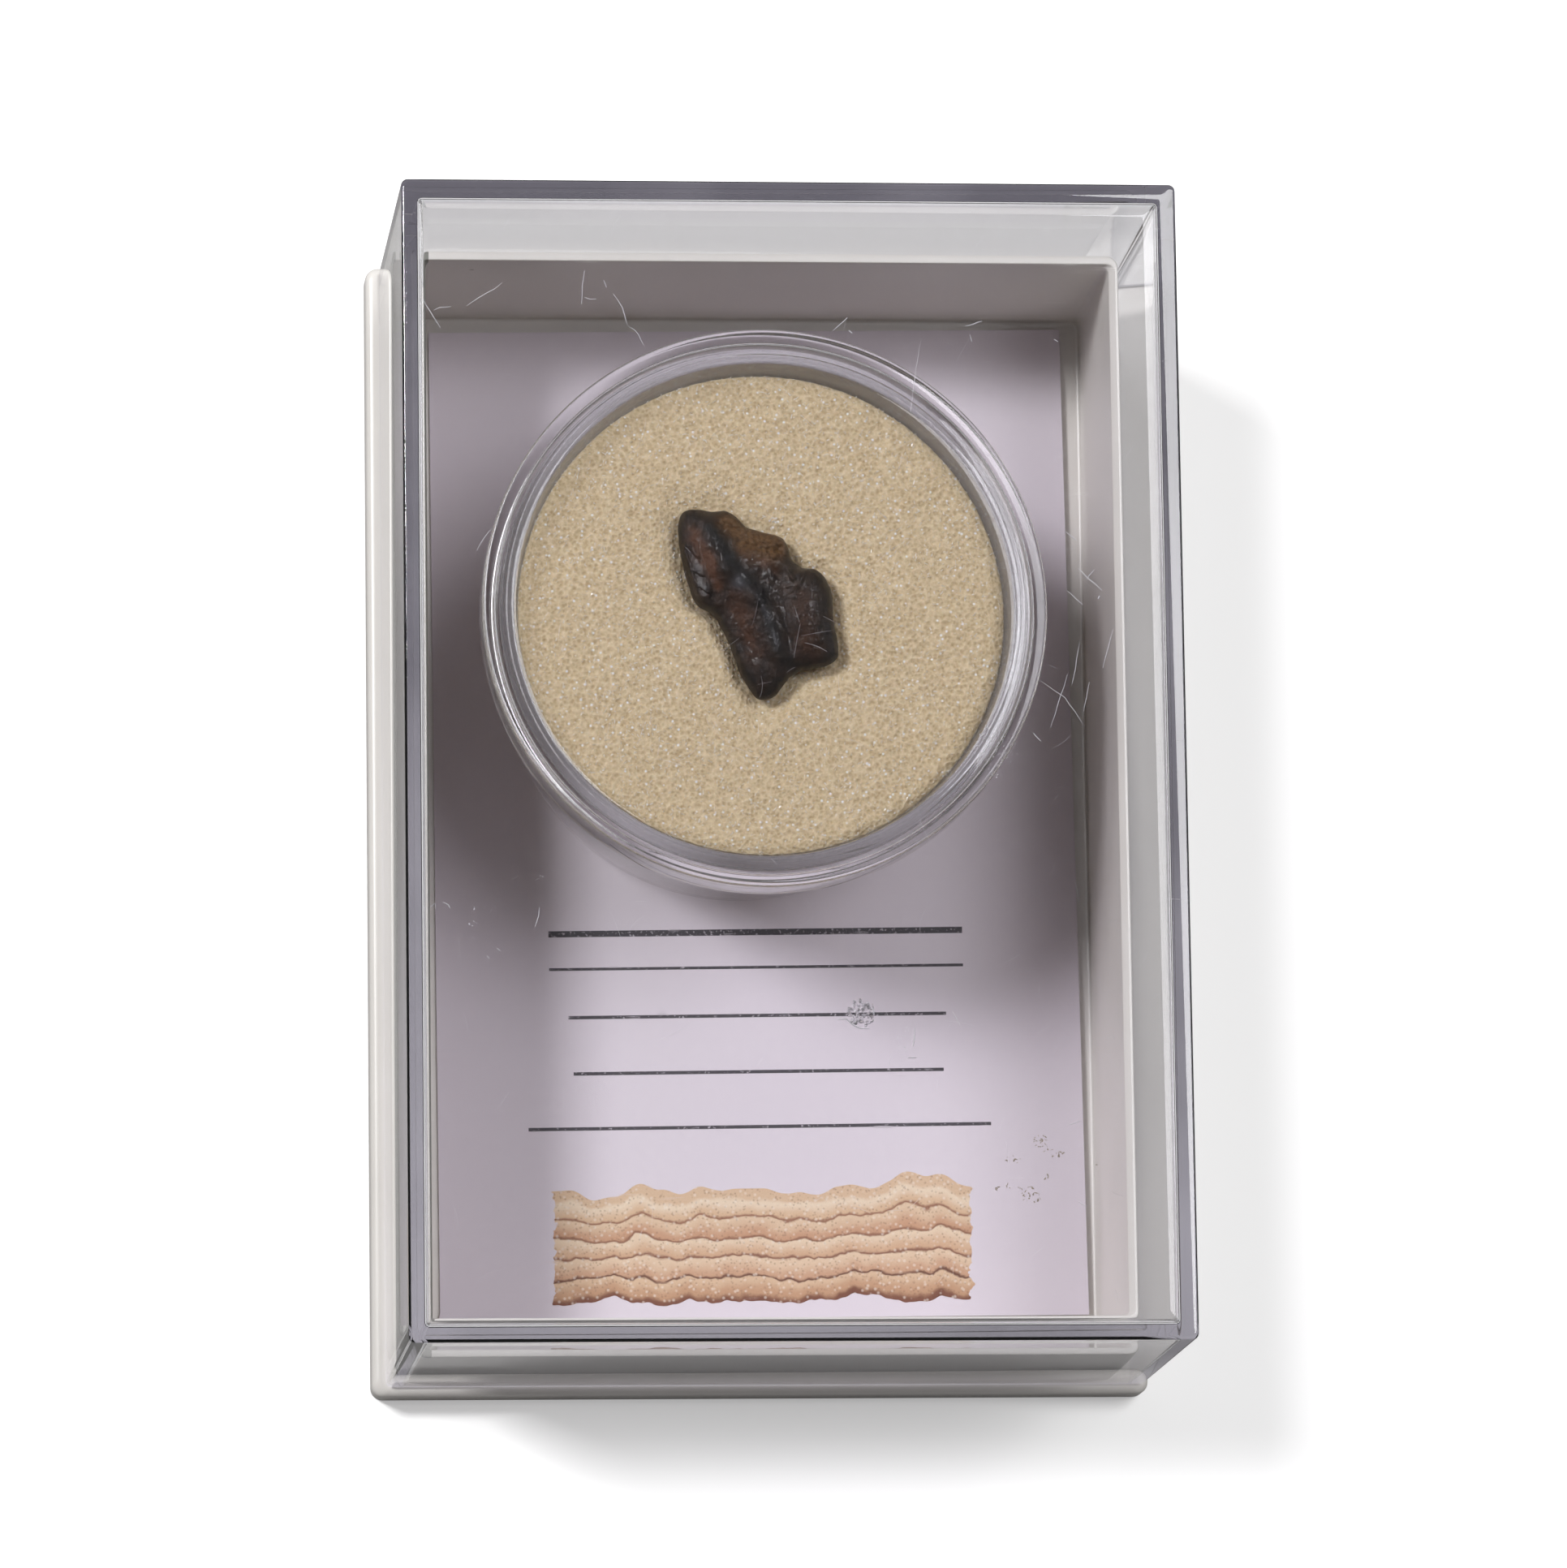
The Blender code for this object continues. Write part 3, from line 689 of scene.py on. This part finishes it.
def tooth_loops():
    """Level-by-level loops from the middle of the underside, out, and over the crown."""
    turns = np.linspace(0.0, 2 * math.pi, TOOTH_SIDES, endpoint=False)
    reach = tooth_reach(turns)
    reach = reach * (1.0 + 0.010 * cell_noise(9 * np.cos(turns), 9 * np.sin(turns), 0.5))
    under = np.sin(np.linspace(0.03, math.pi / 2, TOOTH_UNDER_RINGS))
    over = np.cos(np.linspace(0.0, math.pi / 2 - 0.012, TOOTH_TOP_RINGS)) ** 0.8
    loops = []
    for share in under[:-1]:
        x, y = share * reach * np.cos(turns), share * reach * np.sin(turns)
        z = -1.3 * math.sqrt(1 - share ** 2) + 0.05 * cell_noise(x, y, 0.9)
        loops.append((x, y, z))
    for share in over:
        x, y = share * reach * np.cos(turns), share * reach * np.sin(turns)
        loops.append((x, y, crown_height(x, y, share)))
    return loops


tooth_levels = tooth_loops()
tooth_points = []
for x, y, z in tooth_levels:
    level = (TOOTH_MIDDLE[0] + x, TOOTH_MIDDLE[1] + y, TOOTH_EDGE_Z + z)
    tooth_points.append(np.stack([axis * MM for axis in level], axis=1))
tooth_x = np.concatenate([level[0] for level in tooth_levels])
tooth_y = np.concatenate([level[1] for level in tooth_levels])
tooth_upper = np.concatenate([
    np.full(TOOTH_SIDES, 0.0 if index < TOOTH_UNDER_RINGS - 1 else 1.0)
    for index in range(len(tooth_levels))
])
# Where each colour lies, as rows like the relief's: rusty dentine along the left flank
# and the broken root, blue-black enamel on the crown, a pale bluish painted sheen on it.
COLOUR_PLACES = {
    "rust": (
        (1.0, (-4.9, 5.2), (-3.9, 2.9), 0.50), (0.9, (-3.8, 2.9), (-3.2, 1.2), 0.42),
        (0.8, (-0.8, 5.4), (1.6, 5.0), 0.36), (0.55, (-1.9, 0.2), (-0.4, -3.4), 0.75),
        (0.55, (-1.3, 3.9), (0.9, 2.7), 0.55), (0.30, (3.0, 0.6), (3.4, -3.4), 0.9),
    ),
    "enamel": (
        (1.0, (-3.9, 5.5), (-2.4, 3.6), 0.50), (0.9, (-2.3, 3.0), (-0.8, 1.5), 0.6),
        (0.8, (0.1, 0.6), (1.2, -3.6), 0.6), (0.35, (4.4, -0.5), None, 1.6),
    ),
    "painted_sheen": (
        (0.9, (-1.6, 1.4), None, 0.62), (1.0, (-2.4, 3.2), None, 0.24),
        (0.45, (-0.3, 0.6), (1.1, -3.1), 0.26), (0.35, (4.9, -1.6), (5.4, -4.0), 0.35),
    ),
}
painted = {label: raised(tooth_x, tooth_y, rows) for label, rows in COLOUR_PLACES.items()}
painted["root"] = pitted(tooth_x, tooth_y)

# Fossil enamel and dentine under a dried clear consolidant: nearly black brown, with the
# coat's wet shine over a surface that is itself dull. Stains are 1.1 mm across, the broken
# root's flecks 0.26 mm, and the fine grain 0.19 mm, coarser than real grain so that it shows.
tooth_fossil, nodes, place = new_finish("fossil_enamel_consolidated")
mottle = add(nodes, "TexNoise", {
    "Vector": place, "Scale": per_mm(1.1111), "Detail": 6.0, "Roughness": 0.65,
})
mottle_wide = add(nodes, "MapRange", {"Value": mottle, "From Min": 0.36, "From Max": 0.64})
brown = add(nodes, "Mix", {
    "Factor": mottle_wide, "A": linear("#0C0907"), "B": linear("#271C14"),
}, data_type="RGBA")
lies = {
    label: add(nodes, "Attribute", attribute_name=label).outputs["Fac"] for label in painted
}
rust_amount = add(nodes, "Math", {0: lies["rust"], 1: mottle_wide}, operation="MULTIPLY")
rust_amount = add(nodes, "Math", {
    0: lies["rust"], 1: 0.45, 2: rust_amount,
}, operation="MULTIPLY_ADD", use_clamp=True)
rusty = add(nodes, "Mix", {"Factor": rust_amount, "A": brown, "B": linear("#4A3020")}, data_type="RGBA")
root_fleck = add(nodes, "TexNoise", {"Vector": place, "Scale": per_mm(0.26316), "Detail": 4.0})
root_tone = add(nodes, "Mix", {
    "Factor": root_fleck, "A": linear("#1A120B"), "B": linear("#7C5C3A"),
}, data_type="RGBA")
rooty = add(nodes, "Mix", {"Factor": lies["root"], "A": rusty, "B": root_tone}, data_type="RGBA")
enamelled = add(nodes, "Mix", {
    "Factor": lies["enamel"], "A": rooty, "B": linear("#151514"),
}, data_type="RGBA")
# Painted sheen: a pale bluish grey laid over the enamel as a soft reflection.
painted_sheen_break = add(nodes, "Math", {0: lies["painted_sheen"], 1: mottle_wide}, operation="MULTIPLY")
sheen_painted = add(nodes, "Mix", {
    "Factor": painted_sheen_break, "A": enamelled, "B": linear("#46474A"),
}, data_type="RGBA")
fine = add(nodes, "TexNoise", {"Vector": place, "Scale": per_mm(0.1923), "Detail": 4.0})
relief = add(nodes, "Bump", {"Height": fine, "Strength": 0.7, "Distance": 0.08 * MM})
coat_ripple = add(nodes, "Bump", {"Height": mottle, "Strength": 0.2, "Distance": 0.08 * MM})
shader = add(nodes, "BsdfPrincipled", {
    "Base Color": sheen_painted, "Roughness": 0.55, "IOR": 1.55,
    "Specular IOR Level": 0.12, "Normal": relief,
    "Coat Weight": 0.4, "Coat Roughness": 0.04, "Coat IOR": 1.5,
    "Coat Normal": coat_ripple,
})
add(nodes, "OutputMaterial", {"Surface": shader})
tooth = stacked_skin("tooth_fossil_detail", tooth_points, tooth_fossil, sharp=180.0)
for label, values in painted.items():
    layer = tooth.data.attributes.new(label, "FLOAT", "POINT")
    layer.data.foreach_set("value", np.clip(values * tooth_upper, 0.0, 1.0).astype(np.float32))
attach(tooth, "root")
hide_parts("tooth")

# CAP. The jar's lid: the same clear polystyrene, a flat plate with a short skirt that hangs
# over the cup's rim, with a shallow ring moulded on top near the edge.
CAP_TOP_Z = 29.2
CAP_FOOT_Z = 25.4
cap_rows = (
    (17.6, CAP_TOP_Z - 0.25, 0),
    (18.3, CAP_TOP_Z - 0.25, 0),
    (18.75, CAP_TOP_Z - 0.2, 0.2),
    (19.0, CAP_TOP_Z, 0.15),
    (20.85, CAP_TOP_Z, 0.4),
    (20.85, CAP_FOOT_Z, 0.2),
    (19.95, CAP_FOOT_Z, 0.2),
    (19.95, 28.2, 0.4),
    (18.3, 28.2, 0),
)
cap_clear = clear_plastic(
    "polystyrene_cap_polished", "#FCFCFD", ((0.30, 0.29, 0.32, 1.0), 5.0), 1.0, 0.08, 0.90
)
cap = stacked_skin("cap_moulding", [circle_loop(*row) for row in softened(cap_rows)], cap_clear)
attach(cap, "root")
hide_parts("jar_lid")

# LID. The display box's upper half: five clear sides of general-purpose polystyrene in one
# moulding, dropped over the tray's walls onto its flange. Handled, so finely scratched.
LID_CENTRE = (0.38, 0.22)
LID_TOP_Z = 34.5
LID_FOOT_Z = 3.5
LID_PLATE = 1.2
lid_clear = clear_plastic(
    "general_purpose_polystyrene_lid", "#FBFBFD", ((0.10, 0.085, 0.115, 1.0), 27.0),
    1.0, 0.12, 0.95,
)
lid_rows = (
    (27.4, 41.6, 0.2, *LID_CENTRE, LID_TOP_Z, 0),
    (28.575, 42.765, 0.5, *LID_CENTRE, LID_TOP_Z, 0.3),
    (28.775, 42.965, 0.5, *LID_CENTRE, LID_FOOT_Z, 0.15),
    (27.575, 41.765, 0.35, *LID_CENTRE, LID_FOOT_Z, 0.15),
    (27.383, 41.573, 0.35, *LID_CENTRE, LID_TOP_Z - LID_PLATE, 0.5),
    (26.2, 40.4, 0.2, *LID_CENTRE, LID_TOP_Z - LID_PLATE, 0),
)
lid = stacked_skin(
    "lid_moulding", [rectangle_loop(*row) for row in softened(lid_rows)], lid_clear
)
# The rim that stands on the flange: light caught by the top edges is piped down inside the
# walls and leaves there, so the edges look lavender grey from above, paler towards the front.
# The rim gives off that light itself, because rays traced inside the walls die out too soon.
rim_glow, nodes, place = new_finish("polystyrene_rim_piped_light")
drawn = add(nodes, "TexNoise", {"Vector": place, "Scale": per_mm(16.667), "Detail": 2.0})
axes = add(nodes, "SeparateXYZ", {"Vector": place})
back = add(nodes, "Math", {0: axes.outputs["Y"], 1: 10.0, 2: drawn}, operation="MULTIPLY_ADD")
further = add(nodes, "MapRange", {"Value": back, "From Min": 0.05, "From Max": 0.95})
uneven = add(nodes, "Mix", {
    "Factor": further, "A": linear("#D8D5DD"), "B": linear("#6C6A72"),
}, data_type="RGBA")
shader = add(nodes, "BsdfPrincipled", {
    "Base Color": linear("#5E5C64"), "Roughness": 0.6,
    "Emission Color": uneven, "Emission Strength": 1.0,
})
add(nodes, "OutputMaterial", {"Surface": shader})
lid.data.materials.append(rim_glow)
for face in lid.data.polygons:
    if face.normal.z < -0.9 and face.center.z < (LID_FOOT_Z + 0.3) * MM:
        face.material_index = 1
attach(lid, "root")
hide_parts("box_lid")

# HANDLING MARKS. Scratches with a raised burr on the lid's top and on the jar's cap, and the
# crumbs, lint and dried residue on the lid. The plain scratches lie as photographed, each
# (width, points along it), in mm about the box's middle.
LID_SCRATCHES = (
    (0.035, (-26.66, 33.98), (-25.97, 32.73), (-25.39, 31.83)),
    (0.03, (-25.85, 33.09), (-25.43, 33.3), (-24.61, 33.39)),
    (0.035, (-20.84, 35.22), (-21.43, 34.68), (-22.61, 34.07), (-23.44, 33.46)),
    (0.03, (-14.8, 36.16), (-14.96, 35.2), (-15.03, 33.64)),
    (0.03, (-14.79, 34.18), (-14.38, 34.04), (-13.97, 34.04)),
    (0.035, (-12.73, 34.44), (-12.03, 33.42), (-11.69, 32.1)),
    (0.03, (-11.58, 31.96), (-11.17, 31.74), (-10.88, 31.38), (-10.48, 30.55)),
    (0.03, (-13.43, 35.45), (-13.2, 34.91)),
    (0.04, (3.47, 31.8), (4.5, 32.75)), (0.05, (4.6, 31.81), (4.85, 31.58)),
    (0.045, (13.2, 32.19), (13.79, 32.31), (14.45, 32.57)),
    (0.035, (13.48, 31.53), (13.65, 31.01)),
    (0.022, (9.92, 31.21), (9.44, 28.48), (9.03, 25.68)),
    (0.04, (19.73, 31.23), (20.02, 31.05)),
    (0.03, (-22.86, 15.24), (-22.44, 16.02), (-21.74, 16.88)),
    (0.04, (20.32, 16.85), (21.16, 16.16)), (0.045, (21.18, 14.08), (22.92, 12.46)),
    (0.035, (22.38, 14.02), (21.79, 13.27)), (0.035, (20.35, 12.4), (21.53, 11.36)),
    (0.06, (22.63, 11.83), (22.74, 12.06)),
    (0.03, (23.67, 9.58), (23.24, 8.07), (22.87, 6.69)),
    (0.025, (20.29, 6.22), (19.74, 4.61), (18.96, 2.3)),
    (0.025, (18.11, 5.87), (20.03, 4.49), (21.47, 2.37)),
    (0.025, (21.19, 8.64), (20.87, 6.8), (20.56, 5.41)),
    (0.035, (17.69, 1.84), (18.2, 1.27)), (0.025, (21.88, 5.65), (21.38, 3.46)),
    (0.035, (-26.42, -11.02), (-26.07, -10.71), (-26.03, -11.06)),
    (0.035, (-25.56, -10.67), (-25.13, -10.8), (-25.0, -11.06)),
    (0.045, (-21.62, -13.97), (-21.37, -14.19)), (0.045, (-22.4, -14.5), (-22.19, -14.76)),
    (0.035, (-18.54, -11.02), (-18.59, -11.63), (-18.85, -12.41)),
    (0.055, (3.02, -19.2), (3.7, -19.2), (4.15, -19.65), (4.67, -19.88), (5.35, -19.88)),
    (0.055, (5.6, -18.29), (5.67, -18.9)),
    (0.045, (8.59, -19.81), (8.54, -20.72), (8.46, -21.17)),
    (0.045, (8.1, -21.96), (8.71, -22.0)), (0.03, (11.4, -18.6), (11.91, -19.59)),
    (0.035, (20.34, -32.5), (20.6, -32.7), (20.95, -32.85)),
    (0.025, (19.6, -26.95), (20.15, -26.8), (20.65, -26.6)),
)
# The finest lie at random: (height, middle, half sizes of their patch, how many, seed).
FINE_SCRATCHES = (
    (LID_TOP_Z, (0.4, 0.2), (26.5, 40.5), 120, 41),
    (CAP_TOP_Z, (-1.35, 12.1), (12.5, 12.5), 70, 42),
)


def burr(curve, z, width, line):
    """Adds one scratch to a curve: a fine thread lying on the surface, thin at its ends."""
    spline = curve.splines.new("POLY")
    spline.points.add(len(line) - 1)
    last = len(line) - 1
    for index, (x, y) in enumerate(line):
        taper = 0.35 + 0.65 * math.sin(math.pi * (index + 0.5) / (last + 1))
        spline.points[index].co = (x * MM, y * MM, (z + 0.6 * width) * MM, 1.0)
        spline.points[index].radius = width * taper


def unsteady(line, seed):
    """The same line in short steps, each a little off it."""
    points = []
    for start, end in zip(line, line[1:]):
        steps = max(2, int(math.dist(start, end) / 0.3))
        for step in range(steps):
            t = step / steps
            x, y = (start[k] + (end[k] - start[k]) * t for k in (0, 1))
            off_x, off_y = noise.noise((x, y, seed)), noise.noise((y, x, seed + 4))
            points.append((x + 0.06 * off_x, y + 0.06 * off_y))
    return points + [line[-1]]


# The burr is the same plastic, roughened white: it scatters light where the polish is broken,
# and its whiteness comes and goes every half millimetre or so.
scratched, nodes, place = new_finish("polystyrene_scratch_burr")
patchy = add(nodes, "TexNoise", {"Vector": place, "Scale": per_mm(0.5556), "Detail": 2.0})
whitened = add(nodes, "Mix", {
    "Factor": patchy, "A": linear("#C9C6D0"), "B": linear("#F4F2F8"),
}, data_type="RGBA")
shader = add(nodes, "BsdfPrincipled", {
    "Base Color": whitened, "Roughness": 0.35, "IOR": 1.59,
    "Transmission Weight": 0.35,
})
add(nodes, "OutputMaterial", {"Surface": shader})
threads = bpy.data.curves.new("scratch_lines", "CURVE")
threads.dimensions = "3D"
threads.bevel_depth = MM
threads.bevel_resolution = 0
threads.use_fill_caps = True
for order, (width, *line) in enumerate(LID_SCRATCHES):
    burr(threads, LID_TOP_Z, width, unsteady(line, order))
for z, middle, reach, count, seed in FINE_SCRATCHES:
    chance = np.random.default_rng(seed)
    for _ in range(count):
        x, y = (middle[k] + reach[k] * chance.uniform(-1.0, 1.0) for k in (0, 1))
        heading = chance.normal(0.9, 0.8)
        bend = chance.normal(0.0, 0.35)
        length = 0.6 + 2.2 * chance.random() ** 2
        line = []
        for step in range(7):
            line.append((x, y))
            x += length / 6 * math.cos(heading)
            y += length / 6 * math.sin(heading)
            heading += bend / 6
        burr(threads, z, 0.004 + 0.006 * chance.random(), line)
traced = bpy.data.objects.new("scratch_lines", threads)
scratch_mesh = bpy.data.meshes.new_from_object(traced)
bpy.data.objects.remove(traced)
scratches = finished_piece("handling_scratches", scratch_mesh, scratched)
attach(scratches, "root")

# Crumbs and residue: small patches on the lid's top, each (middle, half sizes, turn in degrees).
BROWN_PATCHES = (
    ((17.7, -28.1), (0.75, 0.45), -15), ((15.5, -29.4), (0.8, 0.3), -12),
    ((18.7, -29.0), (0.8, 0.3), -20), ((14.9, -31.5), (0.7, 0.22), 15),
    ((16.8, -31.9), (0.9, 0.6), -30), ((18.05, -30.7), (0.22, 0.2), 0),
    ((20.95, -32.9), (0.14, 0.12), 0), ((21.6, -29.9), (0.12, 0.1), 0),
)
PALE_PATCHES = (
    ((-22.35, -11.07), (0.95, 0.3), 5), ((-23.3, -12.4), (0.4, 0.9), 10),
    ((-18.6, -9.0), (0.4, 0.5), 0), ((-27.9, 34.0), (0.08, 3.6), 0),
    ((7.9, -20.6), (0.7, 1.2), 8), ((15.0, 0.4), (1.6, 2.2), 30),
)
CRUST_PATCHES = (((4.75, -18.85), (1.15, 0.85), -25), ((5.3, -18.3), (0.45, 0.4), 0))
crumbs_tree, crumbs_labels, given = scatter_tree("scatter_crumbs", (
    ("Crumbs per square metre", "Float"), ("Crumb size", "Float"),
))
scattered = add(crumbs_tree, "GeometryNodeDistributePointsOnFaces", {
    "Mesh": given.outputs["Geometry"], "Density": given.outputs["Crumbs per square metre"],
    "Seed": given.outputs["Seed"],
}, distribute_method="RANDOM")
crumb = add(crumbs_tree, "GeometryNodeMeshIcoSphere", {
    "Radius": given.outputs["Crumb size"], "Subdivisions": 1,
})
turned = add(crumbs_tree, "FunctionNodeRandomValue", {
    "Min": (-0.2, -0.2, 0.0), "Max": (0.2, 0.2, 6.28), "Seed": given.outputs["Seed"],
}, data_type="FLOAT_VECTOR")
squashed = add(crumbs_tree, "FunctionNodeRandomValue", {
    "Min": (0.3, 0.2, 0.12), "Max": (1.6, 0.8, 0.35), "Seed": given.outputs["Seed"],
}, data_type="FLOAT_VECTOR")
laid = add(crumbs_tree, "GeometryNodeInstanceOnPoints", {
    "Points": scattered, "Instance": crumb,
    "Rotation": turned, "Scale": squashed,
})
finish_tree(crumbs_tree, laid, given)


def crumb_finish(name, dark, pale, rough, clear):
    """Dried residue: two tones that change every 0.2 mm, about from crumb to crumb."""
    material, tree, spot = new_finish(name)
    tones = add(tree, "TexNoise", {"Vector": spot, "Scale": per_mm(0.2), "Detail": 1.0})
    tone = add(tree, "Mix", {"Factor": tones, "A": linear(dark), "B": linear(pale)}, data_type="RGBA")
    body = add(tree, "BsdfPrincipled", {
        "Base Color": tone, "Roughness": rough, "IOR": 1.5,
        "Transmission Weight": clear,
    })
    add(tree, "OutputMaterial", {"Surface": body})
    return material


# The brown crumbs look like dust in old glue and the pale ones like lint and scuffed plastic;
# the crust looks like a dried drop of clear adhesive, lumpy and half see-through.
for name, patches, density, size, seed, finish in (
    ("residue_crumbs", BROWN_PATCHES, 1.6e7, 0.09 * MM, 5,
     crumb_finish("dried_residue_brown", "#6E6156", "#B3A798", 0.8, 0.3)),
    ("pale_lint", PALE_PATCHES, 0.9e7, 0.07 * MM, 6,
     crumb_finish("lint_and_scuffed_plastic", "#B9B4C0", "#ECEAF0", 0.7, 0.35)),
    ("adhesive_crust", CRUST_PATCHES, 2.2e7, 0.17 * MM, 7,
     crumb_finish("dried_clear_adhesive", "#C9C6CE", "#E8E6EC", 0.35, 0.9)),
):
    bm = bmesh.new()
    for (x, y), (half_x, half_y), turn in patches:
        turned_x, turned_y = math.cos(math.radians(turn)), math.sin(math.radians(turn))
        ring = []
        for step in range(16):
            angle = 2 * math.pi * step / 16
            swing = 1.0 + 0.35 * noise.noise((x + math.cos(angle), y + math.sin(angle), 2.0))
            a, b = half_x * swing * math.cos(angle), half_y * swing * math.sin(angle)
            a, b = a * turned_x - b * turned_y, a * turned_y + b * turned_x
            ring.append(bm.verts.new(((x + a) * MM, (y + b) * MM, (LID_TOP_Z + 0.02) * MM)))
        bm.faces.new(ring)
    patch_mesh = bpy.data.meshes.new("patches")
    bm.to_mesh(patch_mesh)
    bm.free()
    patches_laid = bpy.data.objects.new("patches", patch_mesh)
    bpy.context.scene.collection.objects.link(patches_laid)
    crumbs = grown(name, patches_laid, crumbs_tree, crumbs_labels, {
        "Crumbs per square metre": density, "Crumb size": size, "Seed": seed, "Finish": finish,
    })
    bpy.data.objects.remove(patches_laid)
    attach(crumbs, "root")

# SURROUNDINGS. A pale table, soft lamps to the left-back and right-back, and the camera
# nearly overhead, a little to the front and left.
bm = bmesh.new()
bmesh.ops.create_grid(bm, x_segments=4, y_segments=4, size=1.5)
floor_mesh = bpy.data.meshes.new("table_top")
bm.to_mesh(floor_mesh)
bm.free()
floor = bpy.data.objects.new("table_top", floor_mesh)
bpy.context.scene.collection.objects.link(floor)
# A matt white board that gives off a little light, so that shadows on it stay pale. What it
# throws back up at the box is that of a dim board, as in a dim room, and clear plastic shows
# half of each.
floor_matt, nodes, place = new_finish("matt_white_board")
even = add(nodes, "TexNoise", {"Vector": place, "Scale": per_mm(83.33), "Detail": 4.0})
white = add(nodes, "Mix", {
    "Factor": even, "A": linear("#F6F6F6"), "B": linear("#FAFAFA"),
}, data_type="RGBA")
board = add(nodes, "BsdfPrincipled", {
    "Base Color": white, "Roughness": 0.9, "Specular IOR Level": 0.1,
    "Emission Color": (1.0, 1.0, 1.0, 1.0), "Emission Strength": 0.30,
})
dim_board = add(nodes, "BsdfDiffuse", {"Color": (0.32, 0.315, 0.31, 1.0)})
ray = add(nodes, "LightPath")
thrown = add(nodes, "Math", {
    0: ray.outputs["Is Transmission Ray"], 1: 0.5, 2: ray.outputs["Is Reflection Ray"],
}, operation="MULTIPLY_ADD", use_clamp=True)
thrown = add(nodes, "Math", {
    0: ray.outputs["Is Diffuse Ray"], 1: 1.0, 2: thrown,
}, operation="MULTIPLY_ADD", use_clamp=True)
shader = add(nodes, "MixShader", {0: thrown, 1: board, 2: dim_board})
add(nodes, "OutputMaterial", {"Surface": shader})
floor_mesh.materials.append(floor_matt)


def softbox(name, place, target, size, power):
    """A square lamp that faces the target."""
    data = bpy.data.lights.new(name, "AREA")
    data.shape = "SQUARE"
    data.size = size
    data.energy = power
    lamp = bpy.data.objects.new(name, data)
    lamp.location = place
    lamp.rotation_euler = (Vector(place) - Vector(target)).to_track_quat("Z", "Y").to_euler()
    bpy.context.scene.collection.objects.link(lamp)
    return lamp


LAMP_AIM = (0.0, 0.0, 0.01)
softbox("key_left_back", (-0.557, 0.291, 0.753), LAMP_AIM, 0.20, 7.6)
softbox("second_right_back", (0.40, 0.19, 0.875), LAMP_AIM, 0.42, 4.5)

# The room: pale walls high up, a dark ceiling straight above and a dark room at table height,
# so clear plastic seen from above isn't veiled and the front faces fall into shade.
world = bpy.data.worlds.new("room")
world.use_nodes = True
room = world.node_tree
room.nodes.clear()
towards = add(room, "TexCoord").outputs["Generated"]
up = add(room, "SeparateXYZ", {"Vector": towards})
walls = add(room, "ValToRGB", {"Fac": up.outputs["Z"]})
walls.color_ramp.elements[0].color = (0.02, 0.02, 0.02, 1.0)
walls.color_ramp.elements[1].position = 0.2
walls.color_ramp.elements[1].color = (0.06, 0.058, 0.06, 1.0)
for position, level in ((0.45, 0.21), (0.80, 0.21), (0.92, 0.015), (1.0, 0.008)):
    walls.color_ramp.elements.new(position).color = (level, level * 0.98, level, 1.0)
sky = add(room, "Background", {"Color": walls, "Strength": 1.0})
add(room, "OutputWorld", {"Surface": sky})
bpy.context.scene.world = world

# The camera's lens, place and turn in degrees were fitted to the box's edges, the card's
# corners and the jar's rims.
CAMERA_LENS = 203.96
CAMERA_PLACE = (-0.06005, -0.10741, 0.66823)
CAMERA_TURN = (-9.45, 5.28, -0.09)
camera_data = bpy.data.cameras.new("camera")
camera_data.sensor_fit = "HORIZONTAL"
camera_data.sensor_width = 36.0
camera_data.lens = CAMERA_LENS
camera_data.clip_start = 0.05
camera_data.clip_end = 20.0
camera = bpy.data.objects.new("camera", camera_data)
turns = [Matrix.Rotation(math.radians(a), 3, axis) for a, axis in zip(CAMERA_TURN, "XYZ")]
seen = turns[2] @ turns[1] @ turns[0]
camera.matrix_world = Matrix.Translation(CAMERA_PLACE) @ seen.transposed().to_4x4()
bpy.context.scene.collection.objects.link(camera)
bpy.context.scene.camera = camera

# Rays go on long enough to leave the box's and the jar's clear walls. Caustics are off, since
# the clear plastic passes lamp light straight on.
scene = bpy.context.scene
scene.view_settings.view_transform = "Standard"
scene.cycles.max_bounces = 24
scene.cycles.transmission_bounces = 20
scene.cycles.glossy_bounces = 8
scene.cycles.transparent_max_bounces = 32
scene.cycles.caustics_reflective = False
scene.cycles.caustics_refractive = False
scene.cycles.sample_clamp_indirect = 6.0
